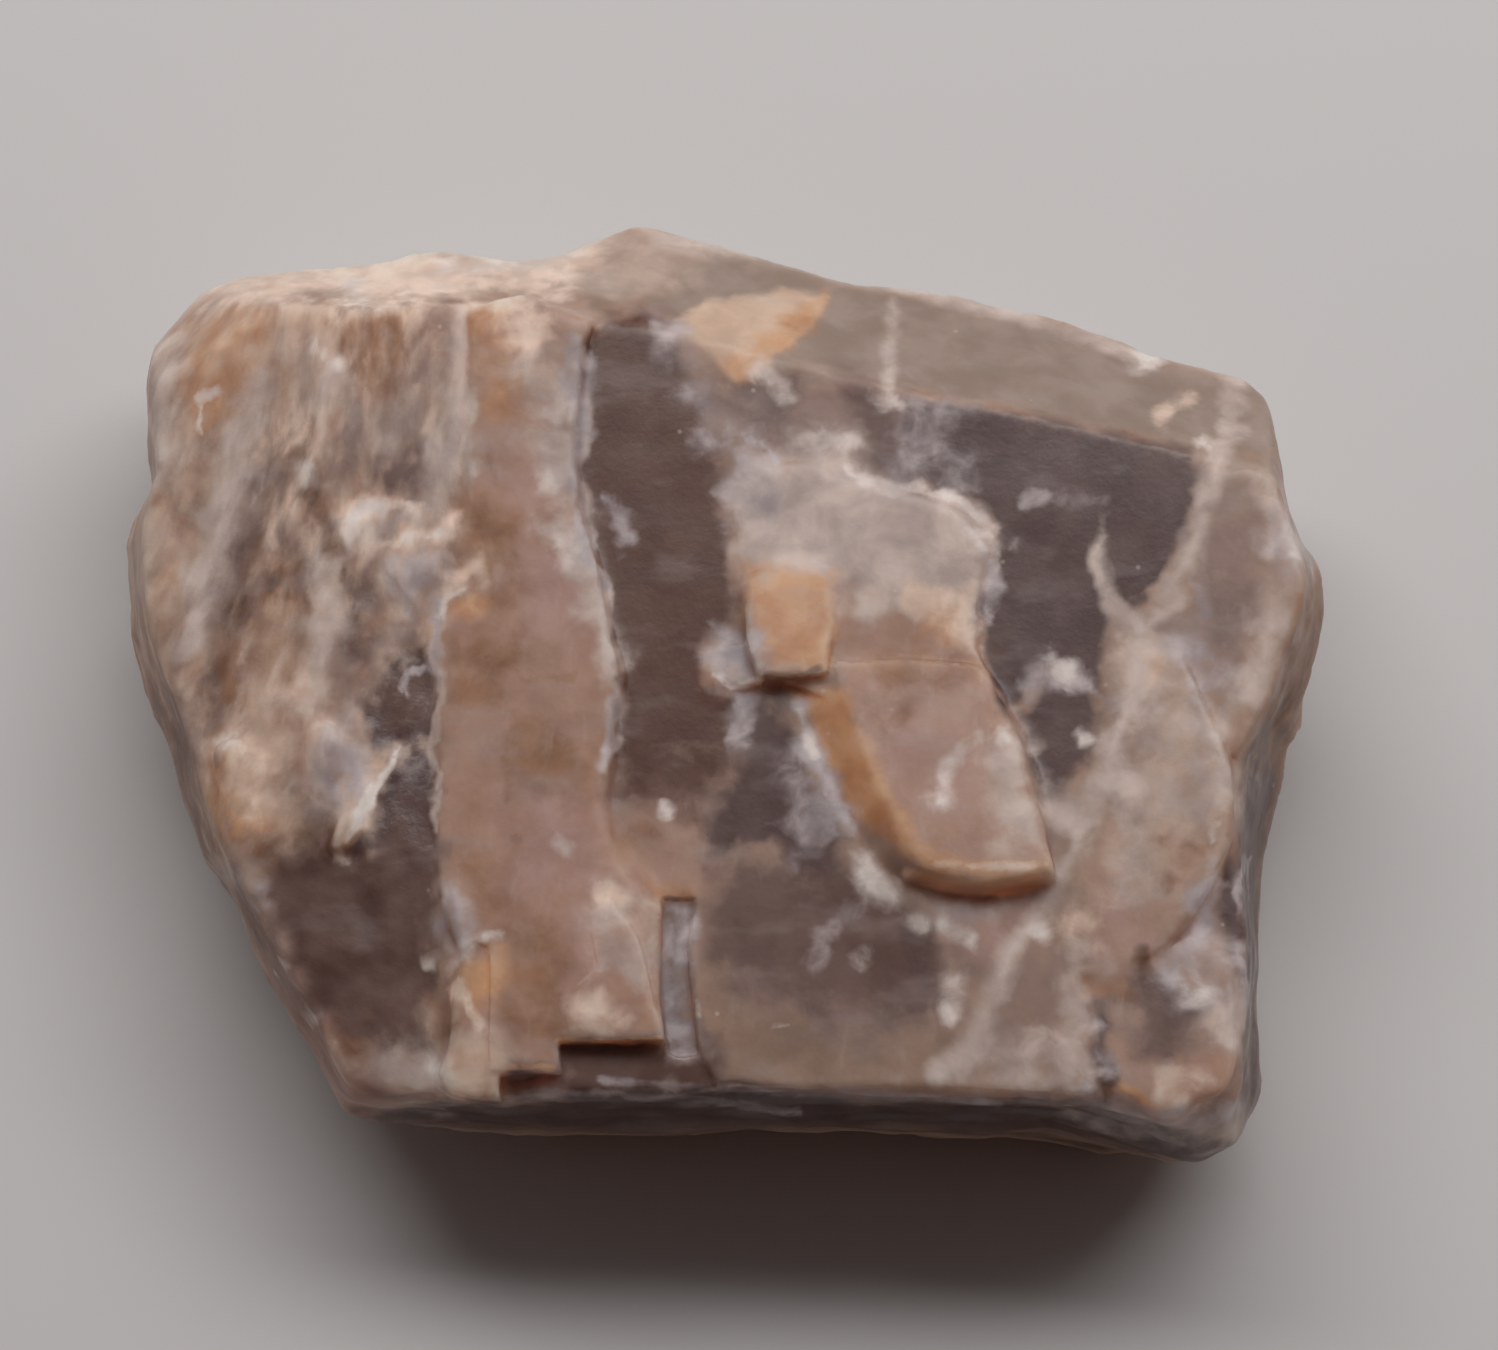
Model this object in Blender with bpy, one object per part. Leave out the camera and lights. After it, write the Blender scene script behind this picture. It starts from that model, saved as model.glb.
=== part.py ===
"""Moonstone specimen: one natural cleavage block of peach and grey feldspar.

The stone lies on its flat underside. X runs along its length, Y from the front to the back, +Z up.
All sizes below are millimetres; the finished mesh is in metres, with its origin under the middle.
"""
import bmesh
import bpy
from mathutils import Vector, noise

MM = 0.001

# Driving heights: the cleavage levels of the stepped top face.
CLEAVAGE = 12.0            # the broad glassy cleavage face, the level most steps rise from
RIDGE_TOP = 12.6           # long peach plate left of the brown window
PALE_TOP = 12.3            # pale plate in the middle
BLOCK_TOP = 12.8           # small tan block at the pale plate's corner
SLAB_TOP = 13.0            # thick orange-sided slab; its front end is the highest point, about 13.4
SLAB_RISE = -0.085         # the slab climbs towards the front
CORNER_TOP = 11.85         # front right corner plate
GUTTER_FLOOR = 11.45       # sunken strip round the right-hand plates
NOTCH_FLOOR = 11.6         # narrow notch beside the ridge plate
LEDGE_FLOOR = 11.5         # ledge in front of the ridge plate
LIP_FLOOR = 10.6           # outer lip below the corner plate
PLATE_ROOT = 10.2          # how deep the plates reach into the block
BELOW_BASE = -4.0          # where the cutters of the underside start

# Underside: the girth is drawn in towards the flat base in two steps.
BASE_SCALE = 0.93
FLANK_SCALE = 0.975
FLANK_HEIGHT = 1.8
BASE_CENTRE = (0.0, -0.6)

# Each station round the stone, clockwise from the back left corner:
# girth x, y, z (the widest outline) and brim x, y (where the wall meets the cleavage face).
STATIONS = [
    (-23.4, 14.0, 8.3, -21.6, 13.2),
    (-21.9, 16.7, 8.0, -20.3, 14.3),
    (-19.7, 17.5, 8.0, -18.6, 14.5),
    (-16.3, 17.7, 8.0, -16.0, 14.5),
    (-13.4, 18.1, 8.0, -13.2, 14.6),
    (-10.9, 18.3, 8.0, -10.8, 14.4),
    (-8.4, 18.1, 8.0, -8.3, 14.4),
    (-6.5, 18.5, 8.0, -6.3, 14.3),
    (-5.1, 19.2, 7.8, -4.9, 14.2),
    (-3.4, 19.7, 7.5, -3.2, 14.0),
    (-1.3, 19.4, 7.5, -1.2, 13.4),
    (0.8, 18.8, 7.5, 0.9, 12.9),
    (5.8, 17.3, 7.5, 5.0, 11.7),
    (8.3, 17.0, 7.5, 7.6, 11.1),
    (11.6, 16.2, 7.5, 10.9, 10.34),
    (14.1, 15.6, 7.5, 13.5, 9.74),
    (16.6, 14.6, 7.7, 16.0, 9.17),
    (17.9, 13.9, 7.9, 17.5, 8.82),
    (19.9, 13.4, 8.0, 19.4, 8.38),
    (21.9, 12.9, 8.1, 21.3, 7.94),
    (22.8, 11.7, 8.5, 22.3, 7.7),
    (23.1, 9.3, 8.7, 22.6, 7.3),
    (23.3, 7.2, 9.0, 22.8, 6.4),
    (23.8, 5.6, 9.0, 23.1, 5.2),
    (24.6, 4.2, 9.0, 23.5, 4.1),
    (24.8, 2.8, 8.0, 23.7, 2.8),
    (24.4, 1.1, 7.0, 23.1, 1.0),
    (24.2, -0.5, 6.0, 22.6, -0.4),
    (24.0, -1.9, 5.0, 22.1, -1.8),
    (23.4, -2.3, 5.0, 21.7, -2.7),
    (23.3, -4.3, 4.0, 20.9, -4.4),
    (22.7, -6.4, 4.0, 20.7, -6.4),
    (22.2, -12.7, 4.0, 20.8, -12.5),
    (22.1, -15.2, 4.3, 20.7, -14.8),
    (21.7, -17.4, 5.0, 20.4, -16.8),
    (20.8, -19.1, 7.0, 19.8, -18.0),
    (19.5, -19.7, 7.5, 18.9, -18.4),
    (18.3, -19.5, 7.5, 18.0, -18.6),
    (15.6, -18.8, 6.5, 15.5, -18.0),
    (13.8, -18.3, 4.0, 13.6, -17.9),
    (9.2, -18.3, 4.0, 9.0, -17.7),
    (1.0, -18.3, 4.0, 0.8, -17.5),
    (-8.8, -18.3, 4.0, -8.6, -17.8),
    (-13.0, -18.2, 5.0, -12.6, -17.2),
    (-14.9, -17.9, 6.0, -14.2, -16.6),
    (-15.4, -17.0, 7.0, -14.8, -15.8),
    (-16.2, -15.5, 7.0, -15.5, -14.5),
    (-17.4, -13.6, 7.0, -16.6, -12.8),
    (-19.7, -9.4, 7.0, -18.8, -8.9),
    (-20.6, -7.8, 7.0, -19.6, -7.4),
    (-21.9, -4.4, 7.0, -20.7, -4.1),
    (-22.7, -2.0, 7.0, -21.3, -1.8),
    (-23.7, -0.1, 6.0, -22.0, 0.0),
    (-24.4, 1.6, 6.0, -22.5, 1.6),
    (-24.7, 3.8, 6.0, -22.8, 3.7),
    (-24.8, 6.1, 6.0, -22.9, 6.0),
    (-24.4, 7.4, 6.0, -22.8, 7.3),
    (-23.7, 8.3, 7.0, -22.4, 8.3),
    (-23.7, 10.1, 8.0, -22.2, 10.1),
    (-23.6, 12.4, 8.3, -22.0, 12.0),
]

# Facets cut across the block: a point on the plane, and the outward normal.
FACETS = {
    "left slope": ((-16.0, 0.0, CLEAVAGE), (-0.27, 0.0, 1.0)),
    "front left slope": ((-12.6, -8.0, CLEAVAGE), (-0.15, -0.17, 1.0)),
    "back left corner": ((-20.2, 13.4, CLEAVAGE - 1.0), (-0.55, 0.5, 0.8)),
    "left underside": ((-24.0, 3.0, 4.6), (-0.60, 0.05, -0.80)),
    "back underside": ((-2.0, 19.0, 6.0), (0.12, 0.66, -0.75)),
    "back right underside": ((14.0, 15.6, 6.2), (0.35, 0.75, -0.56)),
    "right underside": ((24.4, 3.0, 6.0), (0.80, 0.10, -0.60)),
    "front right underside": ((20.6, -18.4, 4.4), (0.45, -0.60, -0.66)),
    "front left underside": ((-16.6, -13.5, 4.5), (-0.55, -0.50, -0.67)),
}

# Plates standing on the block, as (top level, tilt along x, tilt along y, outline). A tilt is the rise in
# millimetres for each millimetre along that axis, about the outline's own middle.
PLATES = {
    "ridge": (RIDGE_TOP, 0.0, 0.006, [
        (-10.0, 14.6), (-7.8, 15.0), (-5.0, 14.0), (-5.5, 12.4), (-5.8, 8.6), (-5.5, 5.8), (-4.8, 3.5),
        (-4.3, 0.8), (-3.8, -1.0), (-4.1, -2.3), (-4.1, -3.9), (-4.5, -6.2), (-4.0, -8.2),
        (-2.6, -9.8), (-1.4, -10.8), (-1.4, -17.1), (-8.9, -17.1),
        (-8.9, -12.2), (-9.5, -11.9),
        (-10.1, -12.4), (-10.8, -10.6), (-11.1, -8.4), (-11.4, -6.0), (-10.9, -4.1), (-11.3, -2.7),
        (-11.1, -1.5), (-11.3, 0.2), (-11.0, 1.7), (-9.6, 2.7), (-10.6, 4.4), (-10.1, 6.5),
        (-10.4, 8.1), (-10.1, 10.7)]),
    "ridge foot": (12.3, 0.04, 0.0, [
        (-8.4, -11.9), (-9.4, -11.7), (-10.1, -12.4), (-10.4, -13.8), (-10.5, -16.0), (-10.9, -17.2),
        (-10.3, -17.9), (-8.5, -18.1)]),
    "ridge cap": (12.62, 0.06, 0.0, [
        (-5.1, -10.9), (-4.2, -10.3), (-3.1, -11.6), (-2.7, -12.9), (-2.4, -14.5), (-1.0, -17.1),
        (-6.4, -17.1), (-6.5, -15.4), (-5.7, -13.9), (-4.7, -12.9)]),
    "pale": (PALE_TOP, 0.01, -0.03, [
        (0.5, 6.4), (1.0, 7.2), (2.0, 7.9), (3.8, 8.0), (5.7, 7.2), (7.2, 6.7), (9.0, 6.3), (10.4, 5.4),
        (11.1, 4.1), (10.6, 3.4), (10.4, 0.1), (11.2, -2.0), (4.8, -2.2), (1.2, -0.6), (1.1, 2.6),
        (0.7, 4.3)]),
    "tan block": (BLOCK_TOP, -0.05, -0.12, [
        (1.2, 3.1), (3.2, 3.7), (4.6, 3.3), (4.8, 1.7), (4.5, 0.0), (4.5, -1.0), (2.8, -1.3),
        (1.6, -1.3), (1.2, 0.0), (1.0, 1.7)]),
    "grey chip": (12.25, 0.02, -0.15, [
        (-0.6, -0.6), (-0.2, 0.3), (1.8, 0.3), (1.8, -1.4), (0.8, -1.6), (-0.3, -1.5)]),
    "right": (12.2, 0.09, 0.0, [
        (17.2, 0.3), (18.6, 0.1), (19.3, -1.8), (20.0, -3.2), (20.5, -4.8), (20.4, -7.5), (19.8, -9.2),
        (19.1, -10.3), (18.3, -11.3), (17.3, -12.3), (15.9, -12.6), (15.0, -12.3), (14.8, -10.3),
        (15.8, -8.3), (16.6, -5.5), (16.4, -2.6)]),
    "hump": (12.15, 0.12, 0.0, [
        (19.6, 7.4), (21.4, 7.7), (22.7, 7.4), (23.0, 6.1), (23.3, 4.5), (23.7, 3.4), (23.6, 1.9),
        (22.9, 0.3), (22.2, -1.8), (21.3, -3.4), (20.7, -4.4), (19.8, -3.0), (19.3, -1.4), (18.9, 1.1),
        (18.6, 3.6)]),
    "corner": (CORNER_TOP, 0.0, -0.06, [
        (15.7, -14.2), (15.5, -16.6), (15.6, -17.7), (16.5, -18.1), (17.4, -18.7), (18.3, -18.5),
        (18.8, -18.1), (19.8, -17.9), (20.4, -16.9), (20.6, -14.6), (20.5, -12.4), (19.0, -11.4),
        (17.0, -12.3), (16.3, -13.2)]),
}

# The thick slab: top x, y and foot x, y. Its left flank slopes, the other sides are nearly upright.
SLAB = [
    (4.7, -0.5, 3.6, -0.9), (7.4, -0.4, 7.4, -0.3), (10.5, -0.7, 10.6, -0.6), (11.2, -2.0, 11.3, -2.0),
    (12.0, -3.7, 12.2, -3.7), (12.4, -5.2, 12.6, -5.2), (12.8, -7.1, 13.0, -7.1), (13.3, -9.3, 13.4, -9.4),
    (12.0, -9.5, 12.0, -9.7), (10.4, -9.7, 10.3, -10.0), (8.9, -9.4, 8.8, -9.9), (8.0, -9.0, 7.3, -9.5),
    (7.2, -7.4, 6.3, -8.6), (6.2, -5.3, 5.1, -6.4), (5.5, -3.1, 4.2, -4.2), (5.0, -1.8, 3.3, -2.2)]

# The ridge plate folds down to the left along one straight crease.
RIDGE_CREASE = ((-8.8, 0.0, RIDGE_TOP), (-0.15, 0.0, 1.0))

# Splinters of the rough left field, written like the plates.
SPLINTERS = {
    "white ledge": (12.2, 0.03, -0.10, [
        (-15.5, 5.3), (-14.8, 6.0), (-12.9, 6.2), (-11.0, 5.8), (-10.4, 4.9), (-11.3, 4.1), (-12.9, 4.5),
        (-13.8, 3.6), (-14.9, 3.9)]),
    "orange knob": (11.55, 0.1, 0.12, [
        (-20.3, -3.7), (-19.2, -3.3), (-18.2, -4.6), (-17.8, -6.4), (-18.2, -7.6), (-19.1, -6.8),
        (-19.9, -5.4)]),
    "pale knob": (12.3, 0.05, 0.15, [
        (-16.4, -3.2), (-15.6, -2.8), (-14.8, -3.7), (-14.6, -5.2), (-15.0, -6.4), (-16.0, -5.9),
        (-16.5, -4.6)]),
    "slant blade": (12.2, -0.3, 0.05, [
        (-12.7, -3.9), (-12.4, -4.7), (-13.7, -6.3), (-14.7, -8.2), (-15.4, -8.3), (-14.9, -6.8),
        (-13.8, -5.3)]),
}

# Hollows cut into the block, as (floor level, tilt along x, tilt along y, outline).
HOLLOWS = {
    "gutter": (GUTTER_FLOOR, -0.1, 0.0, [
        (14.9, -22.0), (14.9, -13.6), (16.2, -12.8), (17.3, -12.4), (18.4, -11.4), (19.2, -10.3),
        (19.9, -9.2), (20.5, -7.5), (20.5, -3.6), (26.0, -3.6), (26.0, -22.0)]),
    "lip": (LIP_FLOOR, -0.02, 0.12, [
        (15.1, -17.6), (15.4, -17.7), (16.4, -18.2), (17.4, -18.8), (18.4, -18.6), (19.2, -18.2),
        (20.3, -17.5), (20.7, -16.4), (20.8, -14.6), (26.0, -14.0), (26.0, -23.0), (15.1, -23.0)]),
    "grey hollow": (11.8, 0.0, 0.0, [
        (-14.8, -2.0), (-14.2, -0.3), (-12.9, 0.7), (-11.8, 0.5), (-11.35, -1.1), (-11.4, -3.8),
        (-12.1, -4.9), (-13.1, -3.7), (-14.2, -4.1)]),
}

# Cut last, because they trim the plates too: the notch beside the ridge plate and the ledge in front of it.
LAST_HOLLOWS = {
    "notch": (NOTCH_FLOOR, 0.0, 0.03, [
        (-2.1, -10.2), (-0.8, -10.1), (-1.1, -11.7), (-1.1, -13.1), (-0.9, -14.5), (-0.7, -16.4),
        (-1.9, -16.4), (-2.2, -14.4), (-2.2, -12.8)]),
    "ledge": (LEDGE_FLOOR, 0.02, 0.15, [
        (-1.9, -15.9), (-0.7, -16.1), (0.0, -17.4), (0.4, -20.0), (-5.8, -20.0),
        (-6.2, -15.9)]),
}

# Sheets missing from the flanks, as (ceiling level, outline): each is cut from below the base up.
UNDERCUTS = {
    "front undercut": (3.3, [
        (-12.6, -22.0), (-11.0, -17.3), (-7.2, -16.9), (-1.5, -17.2), (2.0, -16.8), (7.4, -17.1),
        (9.0, -22.0)]),
    "back undercut": (4.4, [
        (-18.0, 23.0), (-16.4, 15.2), (-12.0, 15.8), (-9.4, 15.2), (-5.6, 15.9), (-3.2, 23.0)]),
    "right undercut": (3.4, [
        (28.0, -2.2), (22.0, -3.2), (21.4, -5.6), (21.7, -8.4), (21.0, -10.8), (28.0, -12.0)]),
    "left undercut": (4.0, [
        (-28.0, 9.5), (-22.3, 8.2), (-21.4, 4.8), (-21.9, 1.6), (-20.9, -1.8), (-28.0, -4.0)]),
}

# Grid that the finished block is cut into, so that its faces can carry relief.
GRID_STEP = 1.45
GRID_DIRECTIONS = ((0.97, 0.24, 0.0), (-0.21, 0.98, 0.0))
GRID_REACH = 34.0
LEVEL_CUTS = (1.7, 5.4, 7.2, 9.0, 10.4)

# Relief, in millimetres: how far a point may wander, and the sizes of the waves that move it.
CLEAVAGE_RELIEF = 0.045
RIB_RELIEF = 0.42
WALL_RELIEF = 0.36
WAVE_COARSE = 4.2
WAVE_FINE = 1.9
RIB_WIDTH = 1.9            # the left field's ribs run from back to front, leaning a little
RIB_LENGTH = 7.5
RIB_LEAN = 0.13

# Where the relief changes, as (where it begins, where it is full).
FLAT_BASE = 0.01
BASE_BLEND = (0.05, 1.4)
FIELD_X, FIELD_Z = (-11.2, -13.4), (9.6, 10.6)
WALL_Z = (11.3, 9.2)
BEVEL_X, BEVEL_Y, BEVEL_Z = (-4.0, 1.0), (6.0, 7.5), (6.8, 7.9)
FRONT_LEFT_X, FRONT_RIGHT_X, FRONT_Y = (-10.5, -8.0), (14.5, 12.5), (-16.5, -17.2)
FRONT_CALM = 0.75          # the front wall is calmer than the other walls by this share
FINE_SHARE = 0.45          # height of the fine waves against the coarse ones

PEACH = (0.35, 0.22, 0.16, 1.0)


def remove_everything():
    """Start from an empty scene."""
    for leftover in list(bpy.data.objects):
        bpy.data.objects.remove(leftover, do_unlink=True)


def loft(name, rings):
    """A closed solid through rings of equal point count, from the lowest ring to the highest."""
    solid = bmesh.new()
    face = solid.faces.new([solid.verts.new(point) for point in rings[0]])
    for ring in rings[1:]:
        region = [face, *face.edges, *face.verts]
        grown = bmesh.ops.extrude_face_region(solid, geom=region)["geom"]
        face = next(item for item in grown if isinstance(item, bmesh.types.BMFace))
        for vert, point in zip(face.verts, ring):
            vert.co = point
    bmesh.ops.recalc_face_normals(solid, faces=solid.faces)
    mesh = bpy.data.meshes.new(name)
    solid.to_mesh(mesh)
    solid.free()
    obj = bpy.data.objects.new(name, mesh)
    bpy.context.scene.collection.objects.link(obj)
    return obj


def cut_off(obj, point, normal):
    """Slice away everything beyond one plane, and close the cut."""
    solid = bmesh.new()
    solid.from_mesh(obj.data)
    cut = bmesh.ops.bisect_plane(
        solid, geom=solid.verts[:] + solid.edges[:] + solid.faces[:],
        plane_co=point, plane_no=normal, clear_outer=True)["geom_cut"]
    rim = [item for item in cut if isinstance(item, bmesh.types.BMEdge)]
    bmesh.ops.edgeloop_fill(solid, edges=rim)
    bmesh.ops.recalc_face_normals(solid, faces=solid.faces)
    solid.to_mesh(obj.data)
    solid.free()


def drawn_in(x, y, scale):
    """A plan point pulled towards the middle of the underside."""
    return (BASE_CENTRE[0] + (x - BASE_CENTRE[0]) * scale,
            BASE_CENTRE[1] + (y - BASE_CENTRE[1]) * scale)


def make_block():
    """The bare block: flat base, flanks, girth, and the wall up to the cleavage face."""
    base, flank, girth, brim = [], [], [], []
    for girth_x, girth_y, girth_z, brim_x, brim_y in STATIONS:
        base.append((*drawn_in(girth_x, girth_y, BASE_SCALE), 0.0))
        flank.append((*drawn_in(girth_x, girth_y, FLANK_SCALE), FLANK_HEIGHT))
        girth.append((girth_x, girth_y, girth_z))
        brim.append((brim_x, brim_y, CLEAVAGE))
    block = loft("block", [base, flank, girth, brim])
    for point, normal in FACETS.values():
        cut_off(block, point, normal)
    return block


def tilted(outline, level, tilt_x, tilt_y):
    """The outline's points on a plane that passes level over the outline's own middle."""
    middle_x = sum(x for x, _ in outline) / len(outline)
    middle_y = sum(y for _, y in outline) / len(outline)
    return [(x, y, level + (x - middle_x) * tilt_x + (y - middle_y) * tilt_y) for x, y in outline]


def make_plate(name, level, tilt_x, tilt_y, outline):
    """A plate with upright sides, rooted in the block."""
    root = [(x, y, PLATE_ROOT) for x, y in outline]
    return loft(name, [root, tilted(outline, level, tilt_x, tilt_y)])


def make_slab():
    """The thick slab, whose left flank slopes out to its foot."""
    root = [(foot_x, foot_y, PLATE_ROOT) for _, _, foot_x, foot_y in SLAB]
    foot = [(foot_x, foot_y, CLEAVAGE) for _, _, foot_x, foot_y in SLAB]
    top = tilted([(x, y) for x, y, _, _ in SLAB], SLAB_TOP, 0.0, SLAB_RISE)
    return loft("slab", [root, foot, top])


def make_hollow(name, level, tilt_x, tilt_y, outline):
    """A cutter from a hollow's floor up through the open air."""
    sky = [(x, y, SLAB_TOP + 5.0) for x, y in outline]
    return loft(name, [tilted(outline, level, tilt_x, tilt_y), sky])


def make_undercut(name, ceiling, outline):
    """A cutter from below the base up to a level ceiling."""
    return loft(name, [[(x, y, BELOW_BASE) for x, y in outline], [(x, y, ceiling) for x, y in outline]])


def combine(stone, tools):
    """Run the Boolean operations in order, bake the result and clear the tools away."""
    for tool, operation in tools:
        step = stone.modifiers.new(tool.name, "BOOLEAN")
        step.operation = operation
        step.object = tool
        tool.hide_render = True
        tool.display_type = "WIRE"
    bpy.context.view_layer.update()
    evaluated = stone.evaluated_get(bpy.context.evaluated_depsgraph_get())
    baked = bpy.data.meshes.new_from_object(evaluated)
    stone.modifiers.clear()
    stone.data = baked
    for tool, _ in tools:
        bpy.data.objects.remove(tool, do_unlink=True)


def cut_grid(solid):
    """Cut the faces into cells of about the grid step, all but the flat base."""
    planes = []
    steps = int(GRID_REACH / GRID_STEP)
    for direction in GRID_DIRECTIONS:
        planes += [(Vector(direction) * GRID_STEP * step, direction) for step in range(-steps, steps + 1)]
    planes += [((0.0, 0.0, level), (0.0, 0.0, 1.0)) for level in LEVEL_CUTS]
    for point, direction in planes:
        upper = [face for face in solid.faces if face.calc_center_median().z > FLAT_BASE]
        rims = {edge for face in upper for edge in face.edges}
        corners = {vert for face in upper for vert in face.verts}
        bmesh.ops.bisect_plane(
            solid, geom=list(corners) + list(rims) + upper, plane_co=point, plane_no=direction)


def smooth_step(limits, value):
    """0 before the first limit, 1 past the second, eased in between."""
    begins, full = limits
    share = min(max((value - begins) / (full - begins), 0.0), 1.0)
    return share * share * (3.0 - 2.0 * share)


def left_field(point):
    """1 on the rough left field, 0 on the rest of the stone."""
    return smooth_step(FIELD_X, point.x) * smooth_step(FIELD_Z, point.z)


def relief_at(point):
    """How far a point may wander: little on the cleavage face, the bevel behind it and the front wall."""
    wall = smooth_step(WALL_Z, point.z)
    bevel = smooth_step(BEVEL_X, point.x) * smooth_step(BEVEL_Y, point.y) * smooth_step(BEVEL_Z, point.z)
    front = (smooth_step(FRONT_LEFT_X, point.x) * smooth_step(FRONT_RIGHT_X, point.x)
             * smooth_step(FRONT_Y, point.y))
    calm = max(bevel, FRONT_CALM * front)
    relief = CLEAVAGE_RELIEF + (WALL_RELIEF - CLEAVAGE_RELIEF) * wall * (1.0 - calm)
    return relief * smooth_step(BASE_BLEND, point.z)


def weather(solid):
    """Move the points by smooth noise, so that broken faces look broken."""
    for vert in solid.verts:
        here = vert.co.copy()
        coarse = noise.noise_vector(here / WAVE_COARSE)
        fine = noise.noise_vector(here / WAVE_FINE)
        vert.co += (coarse + FINE_SHARE * fine) * relief_at(here)
        across = (here.x - RIB_LEAN * here.y) / RIB_WIDTH
        rib = noise.noise(Vector((across, here.y / RIB_LENGTH, 0.0)))
        vert.co.z += rib * RIB_RELIEF * left_field(here)


def finish_mesh(stone):
    """Grid, relief, triangles, metres, and the origin under the middle of the stone."""
    solid = bmesh.new()
    solid.from_mesh(stone.data)
    cut_grid(solid)
    weather(solid)
    bmesh.ops.triangulate(solid, faces=solid.faces, quad_method="SHORT_EDGE", ngon_method="BEAUTY")
    middle_x = (min(vert.co.x for vert in solid.verts) + max(vert.co.x for vert in solid.verts)) / 2
    middle_y = (min(vert.co.y for vert in solid.verts) + max(vert.co.y for vert in solid.verts)) / 2
    bmesh.ops.translate(solid, verts=solid.verts, vec=(-middle_x, -middle_y, 0.0))
    bmesh.ops.scale(solid, verts=solid.verts, vec=(MM, MM, MM))
    solid.to_mesh(stone.data)
    solid.free()


def feldspar():
    """Peach feldspar, glassy on its cleavage faces."""
    material = bpy.data.materials.new("peach_feldspar")
    material.use_nodes = True
    shader = material.node_tree.nodes["Principled BSDF"]
    shader.inputs["Base Color"].default_value = PEACH
    shader.inputs["Roughness"].default_value = 0.35
    shader.inputs["Metallic"].default_value = 0.0
    return material


def make_stone():
    """The whole specimen as one solid."""
    stone = make_block()
    stone.name = "moonstone"
    tools = [(make_undercut(name, *shape), "DIFFERENCE") for name, shape in UNDERCUTS.items()]
    tools += [(make_hollow(name, *shape), "DIFFERENCE") for name, shape in HOLLOWS.items()]
    for name, shape in {**PLATES, **SPLINTERS}.items():
        plate = make_plate(name, *shape)
        if name == "ridge":
            cut_off(plate, *RIDGE_CREASE)
        tools.append((plate, "UNION"))
    tools.append((make_slab(), "UNION"))
    tools += [(make_hollow(name, *shape), "DIFFERENCE") for name, shape in LAST_HOLLOWS.items()]
    combine(stone, tools)
    finish_mesh(stone)
    stone.data.name = "moonstone"
    stone.data.materials.clear()
    stone.data.materials.append(feldspar())
    return stone


remove_everything()
make_stone()
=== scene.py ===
import math

import bmesh
import bpy
import numpy as np
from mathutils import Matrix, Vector, kdtree, noise


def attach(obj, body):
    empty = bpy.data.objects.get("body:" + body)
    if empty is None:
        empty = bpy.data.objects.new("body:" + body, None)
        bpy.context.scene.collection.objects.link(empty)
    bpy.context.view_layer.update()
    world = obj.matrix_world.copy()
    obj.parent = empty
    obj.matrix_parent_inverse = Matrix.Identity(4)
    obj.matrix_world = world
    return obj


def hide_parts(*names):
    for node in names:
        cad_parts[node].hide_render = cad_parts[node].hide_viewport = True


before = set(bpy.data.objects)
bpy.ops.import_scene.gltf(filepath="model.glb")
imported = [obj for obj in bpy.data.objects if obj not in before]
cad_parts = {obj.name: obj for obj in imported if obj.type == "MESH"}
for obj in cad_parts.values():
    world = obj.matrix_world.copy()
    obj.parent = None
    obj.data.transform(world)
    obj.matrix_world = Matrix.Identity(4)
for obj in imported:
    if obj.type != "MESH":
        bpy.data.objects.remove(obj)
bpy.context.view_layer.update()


# ---- Camera ----------------------------------------------------------------------------------
# A hand-held camera standing in front of the stone and looking steeply down on its cleavage face.
# Places on the stone are named by their column and row in this camera's frame.
MM = 0.001
VIEW_COLUMNS, VIEW_ROWS = 1498, 1350
FOCAL_COLUMNS = 5000.0
STAND_OFF = 200.0 * MM
ELEVATION = math.radians(75.0)
SENSOR_WIDTH = 36.0
AIM = Vector((1.15, -1.06, 12.0)) * MM
SIGHT = Vector((0.0, math.cos(ELEVATION), -math.sin(ELEVATION)))
UPRIGHT = Vector((0.0, math.sin(ELEVATION), math.cos(ELEVATION)))


def put_in_scene(name, data):
    """A new object in the scene that holds this mesh, lamp or camera."""
    made = bpy.data.objects.new(name, data)
    bpy.context.scene.collection.objects.link(made)
    return made


camera = put_in_scene("camera", bpy.data.cameras.new("camera"))
camera.data.sensor_width = SENSOR_WIDTH
camera.data.lens = SENSOR_WIDTH * FOCAL_COLUMNS / VIEW_COLUMNS
camera.data.clip_start = 10.0 * MM
camera.location = AIM - SIGHT * STAND_OFF
camera.rotation_euler = (math.pi / 2 - ELEVATION, 0.0, 0.0)
bpy.context.scene.camera = camera


def frame_places(points):
    """Column and row of each point (in millimetres) in the camera's frame."""
    away = points * MM - np.array(camera.location)
    depth = away @ np.array(SIGHT)
    columns = VIEW_COLUMNS / 2 + FOCAL_COLUMNS * away[:, 0] / depth
    rows = VIEW_ROWS / 2 - FOCAL_COLUMNS * (away @ np.array(UPRIGHT)) / depth
    return np.stack([columns, rows], axis=1)


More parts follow.
